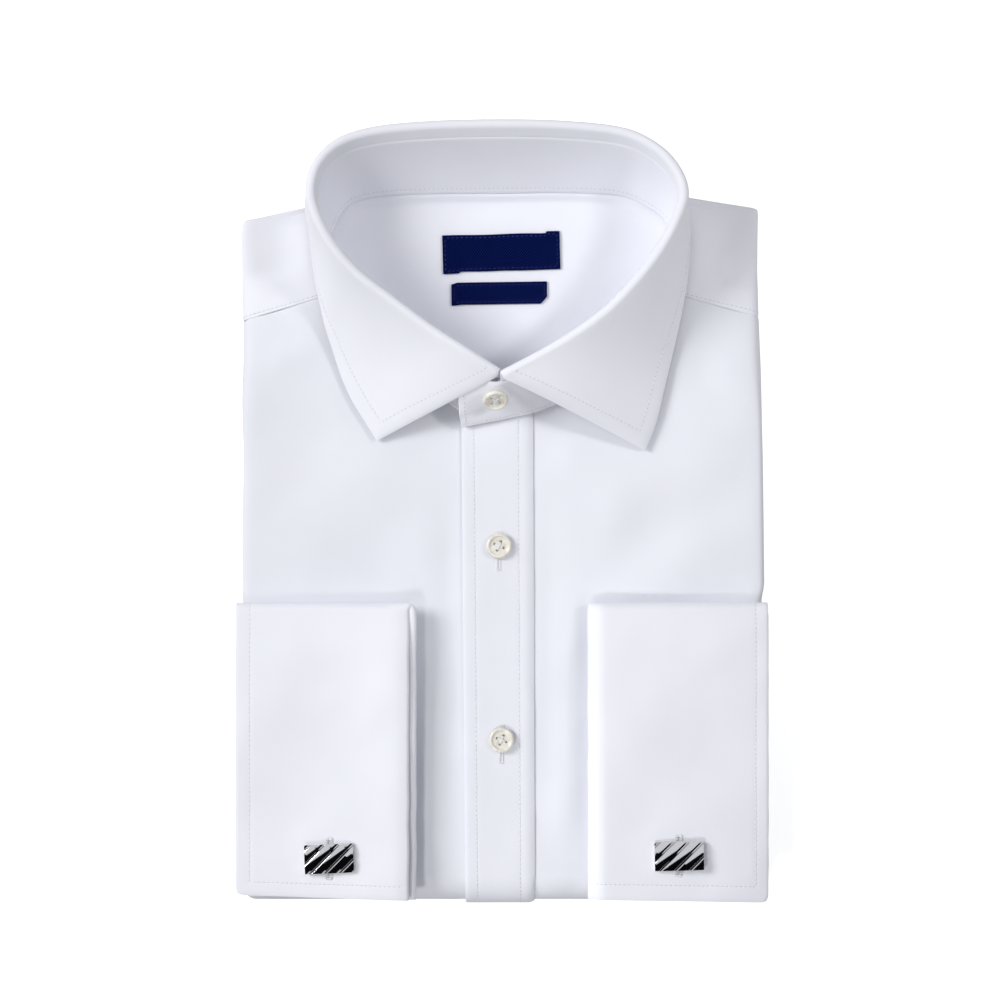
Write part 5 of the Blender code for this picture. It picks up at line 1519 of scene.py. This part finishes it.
def link_face(name, x, y, turn, lean):
    ca, sa = math.cos(math.radians(RIB_ANGLE)), math.sin(math.radians(RIB_ANGLE))
    bm = bmesh.new()
    across = []
    for k in range(-4, 5):
        across += [(k * RIB_PITCH + a - 0.6, h) for a, h in RIB]
    along = [-17.0 + 0.5 * k for k in range(69)]
    rows = []
    for q, h in across:
        line = []
        for r in along:
            u, v = r * ca + q * sa, r * sa - q * ca
            crown = 0.9 * ((2 * u / LINK_W) ** 2 + (2 * v / LINK_H) ** 2) * 0.5
            line.append(bm.verts.new((u, v, LINK_T - crown + h - lean * v)))
        rows.append(line)
    for a, b in zip(rows, rows[1:]):
        for k in range(len(along) - 1):
            bm.faces.new((a[k], a[k + 1], b[k + 1], b[k]))
    for co, no in (((LINK_W / 2, 0, 0), (1, 0, 0)), ((-LINK_W / 2, 0, 0), (-1, 0, 0)), ((0, LINK_H / 2, 0), (0, 1, 0)), ((0, -LINK_H / 2, 0), (0, -1, 0))):
        bmesh.ops.bisect_plane(bm, geom=bm.verts[:] + bm.edges[:] + bm.faces[:], plane_co=co, plane_no=no, clear_outer=True)
    border = [e for e in bm.edges if e.is_boundary]
    out = bmesh.ops.extrude_edge_only(bm, edges=border)
    low = [g for g in out["geom"] if isinstance(g, bmesh.types.BMVert)]
    for v in low:
        v.co.z = 0.0
        v.co.x *= 0.985
        v.co.y *= 0.975
    bmesh.ops.contextual_create(bm, geom=[e for e in bm.edges if e.is_boundary])
    bmesh.ops.recalc_face_normals(bm, faces=bm.faces[:])
    bm.verts.index_update()
    verts = [tuple(v.co) for v in bm.verts]
    faces = [[v.index for v in f.verts] for f in bm.faces]
    bm.free()
    low = cuff_top(abs(x) - LINK_W / 2) + GAP
    return place(verts, (x, y, low), 0, turn), faces


def cufflink(name, x, y, turn):
    face = link_face(name, x, y, turn, LINK_LEAN[name])
    bar_d, bar_l = 2.6, 14.0
    bar_z = cuff_floor(x, y) - GAP - bar_d / 2
    high = cuff_top(x)
    post = lathe([(0.0, bar_z), (0.9, bar_z), (0.9, high - 2.4), (1.15, high - 0.9), (1.6, high + GAP + 0.9), (0.0, high + GAP + 0.9)], 24)
    half = bar_l / 2
    rod = [(0.0, -half), (0.75, -half), (1.1, -half + 0.25), (1.3, -half + 0.7), (1.3, -1.6), (1.12, -1.45), (1.12, 1.45), (1.3, 1.6), (1.3, half - 0.7), (1.1, half - 0.25), (0.75, half), (0.0, half)]
    bv, bf = lathe(rod, 28)
    bv = [(a, c, b) for a, b, c in bv]
    parts = merge([face, (place(post[0], (x, y, 0)), post[1]), (place(bv, (x, y, bar_z)), bf)])
    obj = link(name, parts[0], parts[1], CHROME, box_uv(parts[0]), 24)
    return fix_normals(obj)


LINK_OBJECTS = {k: cufflink("shirt_" + k, *v) for k, v in LINKS.items()}


# ------------------------------------------------------------- threads, hidden plies
def thread_blue():
    n = Nodes("thread_blue")
    geo = n.add("ShaderNodeTexCoord")
    cloud = n.add("ShaderNodeTexNoise", in_Scale=1200.0, in_Detail=2.0)
    n.join(geo.outputs["Object"], cloud.inputs["Vector"])
    ramp = n.add("ShaderNodeValToRGB")
    ramp.color_ramp.elements[0].color, ramp.color_ramp.elements[1].color = (0.012, 0.013, 0.10, 1), (0.05, 0.05, 0.30, 1)
    n.join(cloud.outputs["Fac"], ramp.inputs[0])
    n.join(ramp.outputs[0], n.shader.inputs["Base Color"])
    n.set(Roughness=0.6, Specular_IOR_Level=0.4)
    return n.mat


THREAD_BLUE = thread_blue()
SEAMS = {}
for group, (tv, tf) in list(THREADS.items()):
    obj = link(group + "_thread", tv, tf, THREAD_BLUE if "label" in group else THREAD, box_uv(tv), 60)
    SEAMS[group] = [fix_normals(obj)]
    if "label" not in group:
        # the needle holes: dark discs in painted shade
        hv, hf = NEEDLE[group]
        SEAMS[group].append(fix_normals(link(group + "_needle_holes", hv, hf, SLIT_PAINTED_SHADE, box_uv(hv), 60)))


def plies_material():
    """Folded cloth seen from its ends: thin plies one over the other, with painted shade in dark bands where the gaps
    between plies fall.
    """
    n = Nodes("cotton_poplin_plies")
    geo = n.add("ShaderNodeTexCoord")
    split = n.add("ShaderNodeSeparateXYZ")
    n.join(geo.outputs["Object"], split.inputs[0])
    wob = n.add("ShaderNodeTexNoise", in_Scale=30.0, in_Detail=2.0)
    n.join(geo.outputs["Object"], wob.inputs["Vector"])
    level = n.math("ADD", n.math("MULTIPLY", split.outputs[2], 1000.0), n.math("MULTIPLY", wob.outputs["Fac"], 1.1))
    ply = n.math("PINGPONG", level, 0.55)
    bump = n.add("ShaderNodeBump", in_Strength=0.8, in_Distance=0.0004)
    n.join(ply, bump.inputs["Height"])
    n.join(bump.outputs[0], n.shader.inputs["Normal"])
    ramp = n.add("ShaderNodeValToRGB")
    ramp.color_ramp.elements[0].position, ramp.color_ramp.elements[1].position = 0.02, 0.30
    # painted shade: the dark end of the ramp darkens the lines between plies
    ramp.color_ramp.elements[0].color, ramp.color_ramp.elements[1].color = (0.50, 0.51, 0.56, 1), (0.80, 0.81, 0.86, 1)
    n.join(ply, ramp.inputs[0])
    n.join(ramp.outputs[0], n.shader.inputs["Base Color"])
    n.set(Roughness=0.88, Sheen_Weight=0.1, Specular_IOR_Level=0.25)
    return n.mat


PLIES = plies_material()
core = frame["nodes"]["inner_layers"]
for slot in core.material_slots:
    slot.material = PLIES


# -------------------------------------------------------------------- pieces attached to the root body, the CAD parts they stand for hidden, cloth sizes worked out but not kept
ONTO = {
    FRONT_RIGHT: "front_right", FRONT_LEFT: "front_left", PLACKET: "placket", YOKE_OUTER: "yoke_outer", YOKE_INNER: "yoke_inner", BACK: "back",
    COLLAR_LEAF: "collar_leaf", COLLAR_STAND: "collar_stand", SLEEVE_RIGHT: "sleeve_right", SLEEVE_LEFT: "sleeve_left",
    CUFF_OBJECTS["cuff_right"]: "cuff_right", CUFF_OBJECTS["cuff_left"]: "cuff_left",
    LABEL_OBJECTS["label_main"]: "label_main", LABEL_OBJECTS["label_small"]: "label_small",
    LINK_OBJECTS["cufflink_right"]: "cufflink_right", LINK_OBJECTS["cufflink_left"]: "cufflink_left",
    BUTTONS["button_front_1"][0]: "button_front_1", BUTTONS["button_front_2"][0]: "button_front_2", BUTTONS["button_collar"][0]: "button_collar",
}
for piece, node in ONTO.items():
    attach(piece, "root")
    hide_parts(node)
for piece in [o for group in SEAMS.values() for o in group] + HOLES:
    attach(piece, "root")

OWNER = {"shirt_placket": PLACKET, "shirt_yoke_outer": YOKE_OUTER, "shirt_collar_leaf": COLLAR_LEAF, "shirt_collar_stand": COLLAR_STAND,
         "shirt_cuff_right": CUFF_OBJECTS["cuff_right"], "shirt_cuff_left": CUFF_OBJECTS["cuff_left"]}


def sheet(piece, width, length):
    """width and length in mm: the longest runs along the cloth each way; the area is measured on the piece."""
    area = piece["area_mm2"] * 1e-6
    w, l = width * MM, length * MM
    if area > w * l:
        grow = math.sqrt(area / (w * l)) * 1.001
        w, l = w * grow, l * grow


sheet(FRONT_RIGHT, 183.2, 478.9)
sheet(FRONT_LEFT, 160.2, 480.0)
sheet(PLACKET, 31.3, 429.1)
sheet(YOKE_OUTER, 316.6, 116.2)
sheet(YOKE_INNER, 152.6, 149.6)
sheet(BACK, 182.4, 54.2)
sheet(COLLAR_LEAF, 421.9, 81.3)
sheet(COLLAR_STAND, 441.1, 34.8)
sheet(SLEEVE_RIGHT, 26.1, 221.5)
sheet(SLEEVE_LEFT, 26.1, 221.9)
sheet(CUFF_OBJECTS["cuff_right"], 153.4, 259.2)
sheet(CUFF_OBJECTS["cuff_left"], 154.9, 262.1)
sheet(LABEL_OBJECTS["label_main"], 51.3, 16.8)
sheet(LABEL_OBJECTS["label_small"], 42.8, 10.0)


# ------------------------------------------------------------ floor, lights, camera
def floor_material():
    n = Nodes("floor_pale")
    geo = n.add("ShaderNodeTexCoord")
    cloud = n.add("ShaderNodeTexNoise", in_Scale=3.0, in_Detail=2.0)
    n.join(geo.outputs["Object"], cloud.inputs["Vector"])
    ramp = n.add("ShaderNodeValToRGB")
    ramp.color_ramp.elements[0].color, ramp.color_ramp.elements[1].color = (0.94, 0.945, 0.95, 1), (0.96, 0.965, 0.97, 1)
    n.join(cloud.outputs["Fac"], ramp.inputs[0])
    n.join(ramp.outputs[0], n.shader.inputs["Base Color"])
    n.set(Roughness=0.95, Specular_IOR_Level=0.05, Emission_Color=(1, 1, 1, 1), Emission_Strength=0.6)
    return n.mat


mesh = bpy.data.meshes.new("floor")
mesh.from_pydata([(-3, -3, 0), (3, -3, 0), (3, 3, 0), (-3, 3, 0)], [], [[0, 1, 2, 3]])
floor = bpy.data.objects.new("floor", mesh)
bpy.context.scene.collection.objects.link(floor)
mesh.materials.append(floor_material())

flag_mesh = bpy.data.meshes.new("studio_flag")
flag_mesh.from_pydata([(-0.9, -0.95, 1.2), (0.9, -0.95, 1.2), (0.9, -0.118, 1.2), (-0.9, -0.122, 1.2)], [], [[0, 1, 2, 3]])
flag = bpy.data.objects.new("studio_flag", flag_mesh)
bpy.context.scene.collection.objects.link(flag)
dark = Nodes("studio_flag_black")
dark.set(Base_Color=(0.006, 0.006, 0.008, 1), Roughness=0.9, Specular_IOR_Level=0.0)
flag_mesh.materials.append(dark.mat)
flag.visible_camera = flag.visible_diffuse = flag.visible_shadow = flag.visible_transmission = False
floor.visible_diffuse = False
card_mesh = bpy.data.meshes.new("studio_card")
card_mesh.from_pydata([(-0.9, -0.078, 1.2), (0.9, -0.092, 1.2), (0.9, 0.9, 1.2), (-0.9, 0.9, 1.2)], [], [[0, 1, 2, 3]])
card = bpy.data.objects.new("studio_card", card_mesh)
bpy.context.scene.collection.objects.link(card)
light = Nodes("studio_card_white")
light.set(Base_Color=(0.02, 0.02, 0.02, 1), Roughness=1.0, Emission_Color=(0.93, 0.93, 1.0, 1), Emission_Strength=0.62)
card_mesh.materials.append(light.mat)
card.visible_camera = card.visible_diffuse = card.visible_shadow = card.visible_transmission = False


def area_light(name, place_at, target, size, power, colour=(1, 1, 1)):
    data = bpy.data.lights.new(name, "AREA")
    data.shape, data.size, data.energy, data.color = "SQUARE", size, power, colour
    obj = bpy.data.objects.new(name, data)
    obj.location = place_at
    obj.rotation_euler = (Vector(target) - Vector(place_at)).to_track_quat("-Z", "Y").to_euler()
    bpy.context.scene.collection.objects.link(obj)
    return obj


area_light("key", (-1.47, 0.50, 1.28), (0.0, 0.0, 0.02), 0.74, 25.0)


def spot_light(name, place_at, target, degrees, power):
    data = bpy.data.lights.new(name, "SPOT")
    data.energy, data.spot_size, data.spot_blend, data.shadow_soft_size = power, math.radians(degrees), 1.0, 0.12
    obj = bpy.data.objects.new(name, data)
    obj.location = place_at
    obj.rotation_euler = (Vector(target) - Vector(place_at)).to_track_quat("-Z", "Y").to_euler()
    bpy.context.scene.collection.objects.link(obj)


spot_light("neck_fill", (0.85, 0.30, 0.95), (0.02, 0.085, 0.02), 19.0, 20.0)
spot_light("neck_top", (-0.85, -0.12, 1.00), (0.046, 0.110, 0.03), 9.0, 9.0)
spot_light("low_fill", (-0.45, -0.75, 1.15), (0.02, -0.145, 0.03), 15.0, 26.0)

world_bg = bpy.data.worlds.new("studio")
world_bg.use_nodes = True
back_node = world_bg.node_tree.nodes["Background"]
back_node.inputs[0].default_value = (0.985, 0.99, 1.0, 1)
back_node.inputs[1].default_value = 0.41
bpy.context.scene.world = world_bg

camera_data = bpy.data.cameras.new("camera")
camera_data.lens, camera_data.sensor_width, camera_data.sensor_fit = 133.63, 36.0, "HORIZONTAL"
camera_data.clip_start, camera_data.clip_end = 0.05, 20.0
camera = bpy.data.objects.new("camera", camera_data)
camera.location = (-1.17 * MM, 6.77 * MM, 1.622)
camera.rotation_euler = (0.0, 0.0, 0.0)
bpy.context.scene.collection.objects.link(camera)
bpy.context.scene.camera = camera
bpy.context.scene.view_settings.view_transform = "Standard"
bpy.context.scene.view_settings.look = "None"
